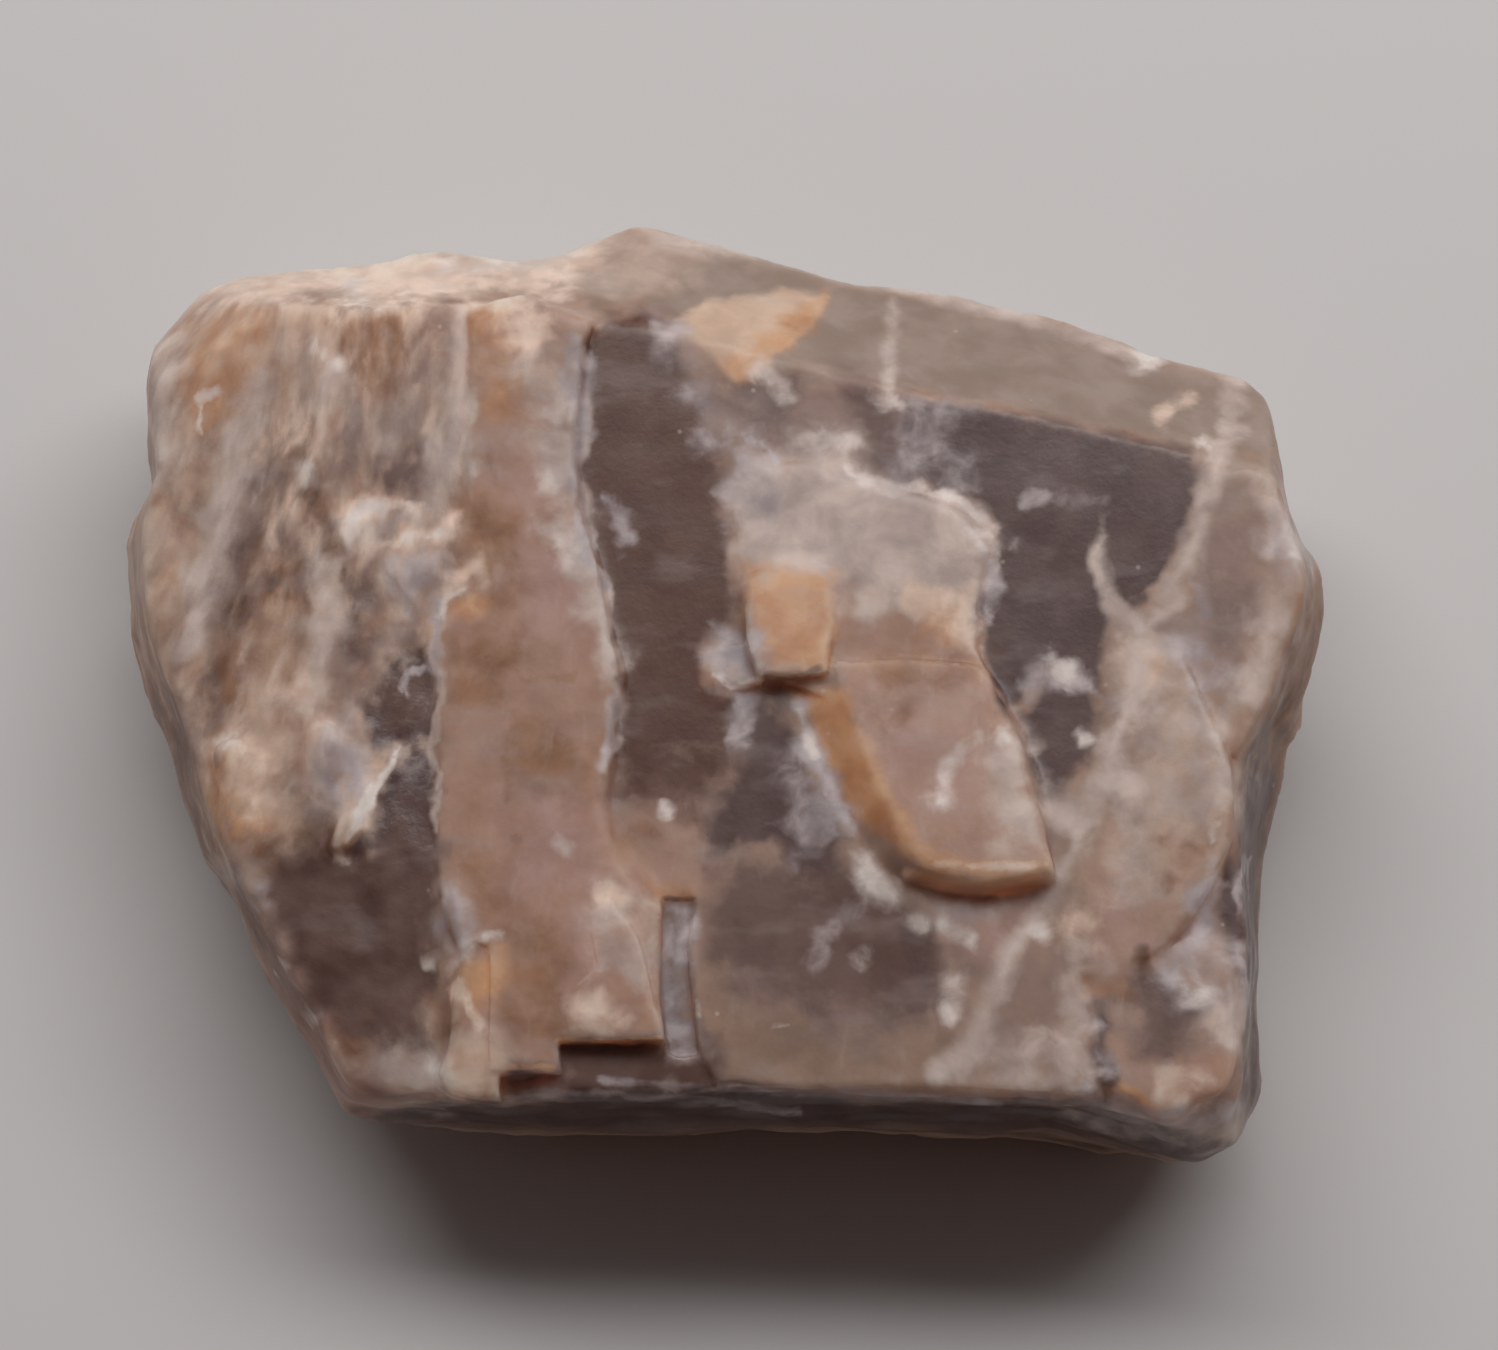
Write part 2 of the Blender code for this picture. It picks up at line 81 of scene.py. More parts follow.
# ---- The crystal's body ----------------------------------------------------------------------
# One broken block of feldspar, bounded by its cleavages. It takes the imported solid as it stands,
# cut finely enough to carry the broken grain, the splinters and the sheeted walls of the stone.
SHARP_ANGLE = math.radians(27.0)
ROUNDED_ANGLE = math.radians(32.0)     # flatter edges than this no longer look sharp once worn
SAME_PLACE, BASE_SKIN = 0.0015, 0.02
TOP_REACH, WALL_REACH, BASE_REACH = 0.30, 0.48, 1.6
TOP_BEGINS, BASE_ENDS = 10.0, 0.25
SPLIT_ROUNDS = 5
SMOOTH_ROUNDS = 7

stone = put_in_scene("moonstone_crystal", bpy.data.meshes.new("moonstone_crystal"))
solid = bmesh.new()
solid.from_mesh(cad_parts["moonstone"].data)
bmesh.ops.scale(solid, verts=solid.verts, vec=(1 / MM,) * 3)
bmesh.ops.remove_doubles(solid, verts=solid.verts, dist=SAME_PLACE)
for edge in solid.edges:
    edge.smooth = not edge.is_manifold or edge.calc_face_angle() < SHARP_ANGLE


def reach_at(place):
    """How long an edge may stay at this place."""
    if place.z < BASE_ENDS:
        return BASE_REACH
    return TOP_REACH if place.z > TOP_BEGINS else WALL_REACH


for _ in range(SPLIT_ROUNDS):
    long_edges = [edge for edge in solid.edges
                  if edge.calc_length() > reach_at((edge.verts[0].co + edge.verts[1].co) / 2)]
    if not long_edges:
        break
    bmesh.ops.subdivide_edges(solid, edges=long_edges, cuts=1)
    wide = [face for face in solid.faces if len(face.verts) > 3]
    bmesh.ops.triangulate(solid, faces=wide, quad_method="SHORT_EDGE", ngon_method="BEAUTY")


def wear(verts, rounds, factor=0.5):
    """Rub these vertices of the stone smooth, round after round."""
    for _ in range(rounds):
        bmesh.ops.smooth_vert(solid, verts=verts, factor=factor,
                              use_axis_x=True, use_axis_y=True, use_axis_z=True)


wear([vert for vert in solid.verts
      if vert.co.z > BASE_ENDS and all(edge.smooth for edge in vert.link_edges)], SMOOTH_ROUNDS)
# the slab, the tan block, the front steps and the bevel's edge stay crisp; other steps are worn soft
CRISP_PLACES = [((0.6, -10.6), (10.8, 0.2)), ((10.8, -10.6), (14.2, -8.4)), ((-10.0, -22.0), (13.0, -9.8)),
                ((11.5, 6.9), (22.0, 20.0)), ((-2.5, 9.0), (12.0, 20.0))]
WORN_ABOVE, WEAR_ROUNDS = 10.2, 12
# the ridge runs down into the notch without a step, and the broken sheets low on the flanks are rubbed away
MELTED_PLACE = ((-5.8, -10.5), (-1.0, -6.2))
MELTED_ABOVE, MELT_ROUNDS = 11.8, 40
LOW_ENDS = 5.6


def lies_in(x, y, place):
    """Whether a point of the plan lies between a place's low and high corners."""
    low, high = place
    return low[0] < x < high[0] and low[1] < y < high[1]


def is_crisp(x, y):
    """Whether the steps here kept their edges."""
    return any(lies_in(x, y, place) for place in CRISP_PLACES)


worn_verts = [vert for vert in solid.verts
              if vert.co.z > WORN_ABOVE and not is_crisp(vert.co.x, vert.co.y)]
melted_verts = [vert for vert in solid.verts
                if vert.co.z > MELTED_ABOVE and lies_in(vert.co.x, vert.co.y, MELTED_PLACE)]
wear(worn_verts, WEAR_ROUNDS)
wear(melted_verts, MELT_ROUNDS)
wear([vert for vert in solid.verts if BASE_ENDS < vert.co.z < LOW_ENDS], MELT_ROUNDS)


def ease(low, high, value):
    """0 below low, 1 above high, eased in between; works on numbers and arrays."""
    share = np.clip((value - low) / (high - low), 0.0, 1.0)
    return share * share * (3.0 - 2.0 * share)


def rib_place(place):
    """A place measured across and along the ribs, which lean over towards the left edge."""
    lean = 0.05 + 0.27 * ease(-11.0, -21.0, place.x)
    return Vector((place.x - lean * place.y, place.y, place.z))


def terraces(value, step, sharpness):
    """A smooth value turned into terraces of one step height."""
    scaled = value / step
    floor = math.floor(scaled)
    return (floor + float(ease(0.5 - sharpness, 0.5 + sharpness, scaled - floor))) * step


# how far up a face looks to be level, and where the torn field and the rough back corner begin
LEVEL_UP = 0.75, 0.93
FIELD_X, FIELD_Z = (-11.4, -12.6), (9.4, 10.4)
BACK_X, BACK_Y = (-4.0, -7.0), (10.2, 13.0)
# heights of the grain: ribs, splinters and crumbs, then wall sheets and hackle, then flat faces
RIB_STEP, RIB_LIFT, SPLINTER_LIFT, CRUMB_LIFT, BACK_LIFT = 0.16, 0.16, 0.07, 0.07, 0.05
SHEET_STEP, SHEET_LIFT, HACKLE_LIFT = 0.22, 0.30, 0.13
FLAT_LIFT = 0.018
# the walls' grain fades in above the base, and mostly out again high up, but not at the very front
FOOT_Z, CALM_Z, CALM_Y, CALM_SHARE = (0.0, 0.9), (6.0, 8.5), (-17.5, -16.0), 0.75

solid.normal_update()
for vert in solid.verts:
    here = vert.co.copy()
    if here.z < BASE_SKIN:
        continue
    normal = vert.normal.copy()
    level = float(ease(*LEVEL_UP, normal.z))
    field = float(ease(*FIELD_X, here.x) * ease(*FIELD_Z, here.z))
    back = float(ease(*BACK_Y, here.y) * ease(*BACK_X, here.x))
    wall = (1.0 - level) * (1.0 - field)
    ribs = rib_place(here)
    # ribs and splinters of the left field, running from back to front
    rib = noise.fractal(Vector((ribs.x * 0.8, ribs.y * 0.24, 0.0)), 1.0, 2.0, 3)
    splinter = noise.fractal(Vector((ribs.x * 2.6, ribs.y * 0.7, 4.0)), 0.9, 2.1, 4)
    crumbs = noise.fractal(here * 1.7, 0.8, 2.2, 3)
    rough_lift = RIB_LIFT * terraces(rib, RIB_STEP, 0.3) + SPLINTER_LIFT * splinter + CRUMB_LIFT * crumbs
    # sheeted walls: thin cleavage sheets end at slightly different depths
    sheet = noise.noise(Vector((here.x * 0.16, here.y * 0.16, here.z * 1.5)))
    hackle = noise.fractal(here * 0.62, 0.8, 2.1, 4)
    calm = CALM_SHARE * float(ease(*CALM_Z, here.z) * ease(*CALM_Y, here.y))
    wall_lift = (SHEET_LIFT * terraces(sheet, SHEET_STEP, 0.12) + HACKLE_LIFT * hackle) * (1.0 - calm)
    # the level cleavage faces stay nearly flat
    flat_lift = FLAT_LIFT * noise.fractal(Vector((here.x * 0.5, here.y * 0.5, 9.0)), 1.0, 2.0, 3)
    lift = (field * level * rough_lift + wall * wall_lift * float(ease(*FOOT_Z, here.z))
            + (1.0 - field) * level * flat_lift + back * BACK_LIFT * crumbs)
    vert.co = here + normal * lift


def sideways(place, shift, *grain):
    """A level step that noise of this grain gives here, read a shift away for its second part."""
    return Vector((noise.fractal(place, *grain), noise.fractal(place + Vector(shift), *grain), 0.0))


# broken rims: the plates' sharp edges are nibbled and slightly rounded
NIBBLED_ABOVE, NIBBLE_DEPTH = 8.8, 0.14
EDGE_ROUNDS, EDGE_WEAR = 4, 0.4
rim_verts = [vert for vert in solid.verts
             if vert.co.z > NIBBLED_ABOVE and any(not edge.smooth for edge in vert.link_edges)]
for vert in rim_verts:
    vert.co += sideways(vert.co * 1.3, (7, 3, 1), 0.8, 2.2, 4) * NIBBLE_DEPTH
for _ in range(EDGE_ROUNDS):
    wear([vert for vert in solid.verts if vert.co.z > BASE_ENDS], 1, EDGE_WEAR)

# where the sharp edges ended up: proud ones carry bruised rims and a painted highlight, sunken ones gather
# shade that painted light lifts
solid.normal_update()
proud, sunk = [], []
for edge in solid.edges:
    if edge.smooth or not edge.is_manifold:
        continue
    (proud if edge.is_convex else sunk).append((edge.verts[0].co + edge.verts[1].co) / 2)


def nearest_of(places):
    """Distance from each vertex to the nearest of these places."""
    finder = kdtree.KDTree(len(places))
    for index, place in enumerate(places):
        finder.insert(place, index)
    finder.balance()
    return np.array([finder.find(vert.co)[2] for vert in solid.verts])


solid.verts.index_update()
proud_distance, sunk_distance = nearest_of(proud), nearest_of(sunk)
for edge in solid.edges:
    if not edge.smooth:
        edge.smooth = edge.calc_face_angle(0.0) < ROUNDED_ANGLE
for face in solid.faces:
    face.smooth = True
places = np.array([vert.co[:] for vert in solid.verts])
rib_places = np.array([rib_place(vert.co)[:] for vert in solid.verts])
bmesh.ops.scale(solid, verts=solid.verts, vec=(MM,) * 3)
solid.to_mesh(stone.data)
solid.free()


def paint(name, values):
    """Keep one number for each vertex under this name, for the material to read."""
    stone.data.attributes.new(name, "FLOAT", "POINT").data.foreach_set(
        "value", np.ascontiguousarray(values, dtype=np.float32))


paint("proud_rim", proud_distance)
paint("sunk_rim", sunk_distance)
stone.data.attributes.new("rib_place", "FLOAT_VECTOR", "POINT").data.foreach_set(
    "vector", np.ascontiguousarray(rib_places, dtype=np.float32).ravel())


# ---- Coloured zones --------------------------------------------------------------------------
# The feldspar changes with how it grew and broke: glassy windows, milky peach plates, rust along
# cracks. Each zone is an outline or a vein on the stone, kept as a depth in millimetres.
COLUMNS_PER_MM = 25.0
FAR_OUT, FAR_IN = -3.0, 3.0            # no zone's depth is kept beyond these
THIN_VEIN = 0.45                       # the depth that the middle of the thinnest vein still has
NEARBY_COLUMNS = 75.0                  # how far round a shape its depth is worked out
FAINTNESS = 0.25                       # how near its own edge a half-strength zone is held
WANDER, CRISP_WANDER = 0.42, 0.12


def wander(place):
    """How far the zones' outlines stray at this place, in millimetres."""
    reach = CRISP_WANDER if is_crisp(place.x, place.y) else WANDER
    return sideways(place * 0.75, (9, 4, 2), 0.9, 2.1, 3) * reach


spots = frame_places(places + np.array([wander(Vector(place))[:] for place in places]))


def near(points, margin):
    """Which vertices lie in the box of these frame places, widened by a margin."""
    low, high = np.min(points, axis=0) - margin, np.max(points, axis=0) + margin
    return np.nonzero(np.all((spots > low) & (spots < high), axis=1))[0]


def distance_to_path(here, path, widths):
    """Distance from each place to a path of straight pieces, less the path's half width there."""
    best = np.full(len(here), np.inf)
    for (start, end), (wide_a, wide_b) in zip(zip(path, path[1:]), zip(widths, widths[1:])):
        along = end - start
        share = np.clip(((here - start) @ along) / max(along @ along, 1e-9), 0.0, 1.0)
        gap = np.linalg.norm(here - start - share[:, None] * along, axis=1)
        best = np.minimum(best, gap - (wide_a + (wide_b - wide_a) * share))
    return best


def depth_limit(strength):
    """The depth at which a faint zone stops growing stronger."""
    return FAINTNESS * (2.0 * strength - 1.0) if strength < 1.0 else FAR_IN


def area(outline, soft=1.0, strength=1.0):
    """A closed zone: depth inside it in millimetres, softened and held back if faint."""
    outline = np.array(outline, float)
    found = near(outline, NEARBY_COLUMNS * max(soft, 1.0))
    here = spots[found]
    closed = np.vstack([outline, outline[:1]])
    gap = distance_to_path(here, closed, np.zeros(len(closed)))
    inside = np.zeros(len(here), bool)
    for (x0, y0), (x1, y1) in zip(closed, closed[1:]):
        crosses = (y0 > here[:, 1]) != (y1 > here[:, 1])
        if y1 != y0:
            inside ^= crosses & (here[:, 0] < (x1 - x0) * (here[:, 1] - y0) / (y1 - y0) + x0)
    depth = np.where(inside, gap, -gap) / COLUMNS_PER_MM / soft
    return found, np.minimum(depth, depth_limit(strength))


def vein(path, width, soft=1.0, strength=1.0):
    """A vein or streak: its width in frame columns, one number or one for each point of its path."""
    path = np.array(path, float)
    widths = np.full(len(path), float(width)) if np.isscalar(width) else np.array(width, float)
    found = near(path, NEARBY_COLUMNS * max(soft, 1.0) + widths.max())
    depth = -distance_to_path(spots[found], path, widths / 2) / COLUMNS_PER_MM / soft
    thin = THIN_VEIN / (widths.mean() / 2 / COLUMNS_PER_MM)
    return found, np.minimum(depth * max(thin, 1.0), depth_limit(strength))


def dab(middle, width, soft=1.0, strength=1.0):
    """A small round patch."""
    return vein([middle, (middle[0] + 1, middle[1])], width, soft, strength)


def zone(name, shapes):
    """Paint one kind of feldspar: the deepest of its shapes counts."""
    depth = np.full(len(spots), FAR_OUT)
    for found, values in shapes:
        depth[found] = np.maximum(depth[found], values)
    paint(name, np.clip(depth, FAR_OUT, FAR_IN))


zone("rough_field", [area([
    (120, 280), (200, 300), (300, 300), (470, 292), (474, 360), (464, 440), (468, 490), (456, 540),
    (450, 570),
    (438, 600), (440, 700), (432, 760), (438, 850), (440, 950), (450, 1040), (440, 1110), (340, 1110),
    (240, 960), (180, 900), (90, 600)])])

# Massive feldspar: tan to mauve, under everything else.
zone("tan", [
    area([(190, 320), (240, 305), (340, 310), (340, 350), (304, 412), (240, 410), (200, 440), (180, 420),
          (180, 350)], 1.2),
    area([(125, 560), (150, 530), (165, 600), (170, 660), (150, 690), (138, 660)], 1.2, 0.8),
    area([(160, 470), (215, 460), (210, 560), (170, 590), (160, 530)], 1.3, 0.8),
    area([(1125, 640), (1180, 650), (1200, 700), (1225, 735), (1235, 790), (1225, 850), (1195, 900),
          (1140, 940), (1090, 950), (1070, 880), (1110, 800), (1140, 740), (1130, 690)], 1.2),
    area([(255, 640), (300, 620), (305, 760), (270, 790), (250, 740)], 1.4),
    area([(205, 830), (270, 850), (300, 800), (300, 880), (240, 900)], 1.4, 0.8)])
zone("dun", [
    area([(590, 236), (680, 232), (900, 290), (1060, 322), (1150, 358), (1270, 384), (1276, 440),
          (1276, 456), (1230, 453), (1195, 446), (1100, 426), (1000, 404), (900, 388), (850, 380),
          (790, 390), (740, 380), (690, 330), (640, 300), (590, 310)], 0.5),
    area([(1195, 452), (1272, 456), (1276, 510), (1230, 520), (1200, 510)], 1.2, 0.9)])
zone("umber", [
    area([(705, 960), (760, 975), (840, 1005), (900, 1015), (960, 1030), (960, 1084), (720, 1076),
          (700, 1040)], 1.4),
    area([(590, 300), (655, 292), (668, 318), (640, 330), (596, 340)], 1.2, 0.9),
    area([(730, 378), (800, 376), (800, 425), (745, 430)], 1.2, 0.9)])
zone("mauve", [
    area([(165, 690), (205, 690), (215, 780), (206, 860), (235, 930), (200, 900), (150, 760)], 1.3),
    area([(225, 890), (300, 860), (305, 1000), (345, 1060), (300, 1060), (235, 950)], 1.5),
    area([(330, 960), (400, 950), (440, 1000), (440, 1060), (380, 1062), (335, 1050)], 1.5, 0.85),
    area([(345, 385), (385, 380), (372, 450), (345, 445)], 1.2, 0.9),
    area([(405, 330), (456, 318), (452, 400), (410, 415)], 1.2, 0.8),
    area([(205, 400), (228, 400), (228, 450), (205, 450)], 1.2, 0.7),
    area([(330, 640), (355, 650), (350, 700), (330, 700)], 1.2, 0.7),
    area([(700, 385), (830, 385), (870, 400), (860, 460), (780, 462), (740, 475), (728, 430)], 1.2),
    area([(852, 382), (920, 392), (930, 470), (870, 470), (852, 420)], 0.9),
    area([(600, 795), (700, 785), (720, 830), (700, 870), (640, 845)], 1.2, 0.9),
    area([(735, 960), (835, 960), (880, 1005), (960, 1010), (940, 1030), (800, 1025), (735, 1000)], 1.3),
    area([(1198, 520), (1262, 510), (1262, 610), (1240, 690), (1222, 700), (1205, 650), (1195, 590)], 1.2),
    area([(1108, 740), (1150, 735), (1150, 840), (1120, 850), (1108, 800)], 1.2, 0.7),
    area([(1005, 960), (1060, 965), (1060, 1070), (985, 1070)], 1.4, 0.6),
    area([(945, 940), (1010, 940), (1000, 980), (955, 975)], 1.0, 0.9),
    area([(1110, 990), (1140, 1000), (1200, 1020), (1195, 1050), (1130, 1050), (1116, 1020)], 1.1, 0.8)])
zone("peach", [
    area([(470, 300), (530, 300), (562, 380), (562, 450), (575, 500), (590, 560), (604, 625), (614, 668),
          (610, 700), (610, 740), (600, 795), (640, 832), (705, 878), (705, 893), (668, 898), (664, 960),
          (664, 1000), (668, 1036), (560, 1036), (574, 1062), (506, 1066), (505, 945), (478, 938),
          (462, 950), (446, 905), (440, 850), (434, 790), (446, 745), (440, 710), (443, 680), (440, 640),
          (447, 605), (480, 580), (462, 540), (472, 490), (468, 450), (472, 390)], 0.7),
    area([(503, 938), (482, 938), (466, 952), (455, 985), (452, 1040), (442, 1070), (455, 1092),
          (503, 1096)], 0.7),
    area([(838, 585), (975, 585), (982, 655), (1003, 688), (1024, 730), (1034, 768), (1044, 815),
          (1058, 868), (985, 877), (922, 860), (903, 822), (878, 770), (846, 700)], 0.5),
    area([(1118, 1044), (1160, 1054), (1240, 1052), (1236, 1088), (1190, 1105), (1122, 1088)], 0.9),
    area([(600, 800), (660, 805), (700, 840), (712, 880), (700, 896), (620, 898), (590, 850)], 1.6, 0.9)])

# Glassy windows: clear plum and smoky feldspar, dark because the light goes down into them.
zone("plum_glass", [
    area([(590, 340), (600, 327), (618, 315), (650, 312), (672, 334), (690, 372), (700, 400), (706, 440),
          (718, 470), (724, 520), (730, 560), (732, 600), (722, 630), (706, 640), (700, 665), (706, 690),
          (735, 700), (738, 740), (700, 750), (617, 745), (620, 700), (614, 680), (622, 665), (612, 640),
          (602, 615), (604, 590), (608, 575), (600, 550), (586, 515), (580, 480), (579, 440), (588, 430),
          (590, 400), (582, 380), (584, 350)], 0.6),
    area([(617, 730), (738, 730), (730, 780), (700, 805), (650, 800), (612, 805)], 1.8),
    area([(345, 590), (365, 580), (370, 640), (350, 650)], 1.2, 0.8),
    area([(298, 550), (314, 545), (316, 600), (305, 615), (300, 590)], 1.2, 0.7)])
zone("smoky_glass", [
    area([(366, 712), (386, 672), (402, 644), (430, 640), (436, 690), (434, 745), (436, 852), (352, 862),
          (352, 842), (376, 808), (402, 758), (376, 748), (364, 728)], 0.9),
    area([(905, 398), (1000, 410), (1100, 430), (1190, 448), (1195, 480), (1185, 540), (1160, 570),
          (1140, 600), (1115, 610), (1095, 660), (1110, 700), (1080, 690), (1060, 668), (1030, 680),
          (1020, 700), (1010, 712), (1002, 690), (984, 655), (982, 620), (984, 565), (1000, 550),
          (1000, 525), (975, 500), (940, 490), (905, 478), (895, 440)], 0.45),
    area([(1018, 712), (1034, 672), (1085, 676), (1104, 712), (1095, 745), (1075, 780), (1055, 795),
          (1040, 800), (1034, 770), (1028, 740)], 0.8),
    area([(735, 700), (790, 695), (798, 740), (818, 780), (840, 820), (848, 860), (862, 890), (905, 915),
          (935, 930), (938, 960), (944, 1000), (900, 1005), (860, 990), (840, 960), (838, 910), (800, 880),
          (770, 840), (740, 850), (715, 860), (718, 810), (735, 760)]),
    area([(668, 905), (698, 900), (694, 935), (694, 970), (700, 1005), (712, 1050), (722, 1078),
          (560, 1066), (560, 1040), (664, 1038)], 0.4, 0.8),
    # the front wall is painted as dark smoky glass: partly the stone's own colour, partly painted shade
    area([(350, 1112), (505, 1098), (505, 1060), (722, 1078), (860, 1102), (1085, 1096), (1250, 1140),
          (1250, 1210), (350, 1200)], 0.6),
    area([(1216, 885), (1236, 850), (1246, 765), (1262, 722), (1330, 735), (1320, 1150), (1246, 1140),
          (1244, 1000), (1226, 940)], 0.7),
    area([(1088, 990), (1114, 995), (1118, 1086), (1088, 1088)], 0.7),
    area([(1135, 960), (1200, 1000), (1200, 1018), (1140, 1024), (1130, 990)], 0.9)])

# Half-clear feldspar, then the milky kinds: pink, and pale where fine cracks scatter the light.
zone("dusk", [
    vein([(262, 470), (250, 500), (242, 540), (228, 590), (215, 640), (218, 690)],
         (24, 38, 44, 46, 44, 30), 1.3, 0.9),
    area([(378, 694), (400, 672), (430, 666), (432, 716), (398, 726)]),
    vein([(352, 598), (356, 645)], 18, 1.1, 0.7),
    area([(376, 478), (392, 452), (422, 446), (430, 478), (405, 496), (382, 494)]),
    area([(556, 1040), (716, 1040), (724, 1094), (556, 1096)], 0.8),
    area([(848, 380), (910, 392), (912, 480), (880, 478), (856, 450)], 1.1),
    area([(735, 382), (795, 380), (790, 425), (745, 428)], 1.4),
    area([(1136, 986), (1200, 990), (1200, 1030), (1182, 1058), (1138, 1052)]),
    area([(256, 862), (300, 848), (330, 845), (360, 862), (400, 830), (436, 830), (442, 900), (436, 960),
          (425, 1010), (430, 1056), (390, 1064), (348, 1062), (318, 1020), (292, 965), (268, 905)]),
    area([(735, 860), (850, 870), (905, 915), (940, 1000), (900, 1015), (840, 1012), (760, 995), (708, 965),
          (700, 900)], 1.6),
    area([(655, 318), (690, 370), (722, 430), (735, 480), (728, 520), (700, 440), (672, 380), (650, 330)],
         1.2)])
zone("pink", [
    area([(518, 545), (578, 545), (590, 590), (602, 630), (525, 632), (515, 600)]),
    area([(515, 440), (565, 440), (575, 520), (520, 540)], 1.2, 0.8),
    area([(505, 790), (600, 790), (600, 890), (520, 895), (505, 850)], 1.3),
    area([(240, 955), (268, 960), (320, 1030), (352, 1075), (400, 1080), (390, 1110), (345, 1110),
          (310, 1060)]),
    area([(870, 690), (960, 740), (985, 760), (960, 800), (900, 790), (880, 740)], 1.2, 0.7),
    area([(960, 900), (1030, 900), (1040, 930), (1000, 945), (960, 930)], 1.2, 0.8),
    area([(1085, 900), (1140, 890), (1150, 940), (1090, 950)], 1.2),
    area([(566, 905), (596, 930), (610, 975), (566, 985)], 1.4, 0.7),
    # painted light: this pink patch lightens the shade in the corner under the ridge's front step
    area([(506, 1074), (562, 1074), (562, 1096), (506, 1096)], 0.7)])
zone("pale", [
    area([(1130, 700), (1225, 720), (1236, 800), (1200, 880), (1130, 900), (1120, 800)], 1.4, 0.55),
    area([(350, 522), (395, 510), (440, 520), (456, 540), (430, 562), (385, 560), (352, 556)], 0.9, 0.8),
    area([(728, 490), (742, 472), (800, 455), (850, 462), (880, 480), (910, 485), (950, 495), (980, 515),
          (998, 545), (982, 555), (978, 620), (900, 615), (860, 620), (850, 585), (750, 575), (740, 560)],
         0.8),
    vein([(262, 385), (240, 440), (225, 500), (212, 550), (200, 610), (190, 640)],
         (22, 30, 30, 20, 14, 10), 1.2),
    area([(150, 350), (165, 350), (162, 480), (150, 490)], 1.0, 0.8),
    area([(300, 335), (345, 345), (345, 400), (330, 435), (300, 410)], 1.3, 0.9),
    vein([(466, 310), (460, 350), (455, 400), (462, 430)], (12, 16, 14, 14), 0.9),
    area([(430, 430), (468, 440), (462, 490), (430, 500)], 1.2),
    area([(385, 400), (400, 400), (398, 440), (380, 440)], 1.1, 0.7),
    vein([(318, 560), (330, 600), (325, 660), (312, 700)], (18, 26, 24, 16), 1.3),
    vein([(390, 590), (400, 620), (395, 640)], 18, 1.2, 0.9),
    area([(515, 300), (540, 330), (560, 370), (575, 400), (578, 500), (560, 520), (550, 480), (530, 440),
          (520, 380)]),
    vein([(582, 575), (596, 620), (608, 650), (614, 672)], (24, 18, 16, 14), 0.8),
    area([(305, 745), (322, 722), (345, 722), (352, 750), (342, 800), (320, 815), (300, 790)], 1.1),
    area([(595, 898), (628, 892), (648, 925), (656, 962), (640, 980), (605, 965), (590, 930)], 0.9, 0.8),
    area([(452, 1036), (505, 1036), (502, 1090), (455, 1088)], 1.1, 0.6),
    area([(1203, 992), (1243, 985), (1243, 1053), (1204, 1055)], 0.6),
    # painted light: a pale band where the top of the front wall catches the light on the right
    area([(1060, 1104), (1150, 1110), (1236, 1114), (1244, 1152), (1180, 1138), (1100, 1124)], 0.8),
    area([(375, 1060), (450, 1050), (455, 1096), (385, 1098)], 1.2, 0.9),
    area([(985, 735), (1020, 735), (1036, 800), (1048, 840), (1000, 845), (990, 790)]),
    area([(1125, 640), (1175, 640), (1190, 690), (1165, 740), (1130, 720)], 1.2),
    area([(1165, 700), (1225, 730), (1236, 780), (1225, 830), (1190, 830), (1160, 790)], 1.2, 0.9),
    vein([(1268, 500), (1290, 560), (1290, 610), (1270, 660), (1240, 700)], (20, 30, 32, 34, 20), 1.2),
    vein([(1082, 950), (1078, 1000), (1066, 1070)], (16, 20, 20), 1.1, 0.9),
    area([(985, 1050), (1080, 1045), (1080, 1086), (960, 1084)], 1.2, 0.7),
    area([(1045, 790), (1090, 780), (1085, 840), (1050, 845)]),
    vein([(1236, 385), (1234, 420), (1222, 445)], 14, 1.0, 0.9),
    area([(790, 430), (850, 436), (850, 460), (760, 480), (735, 480), (745, 462), (790, 455)], 1.2, 0.9)])
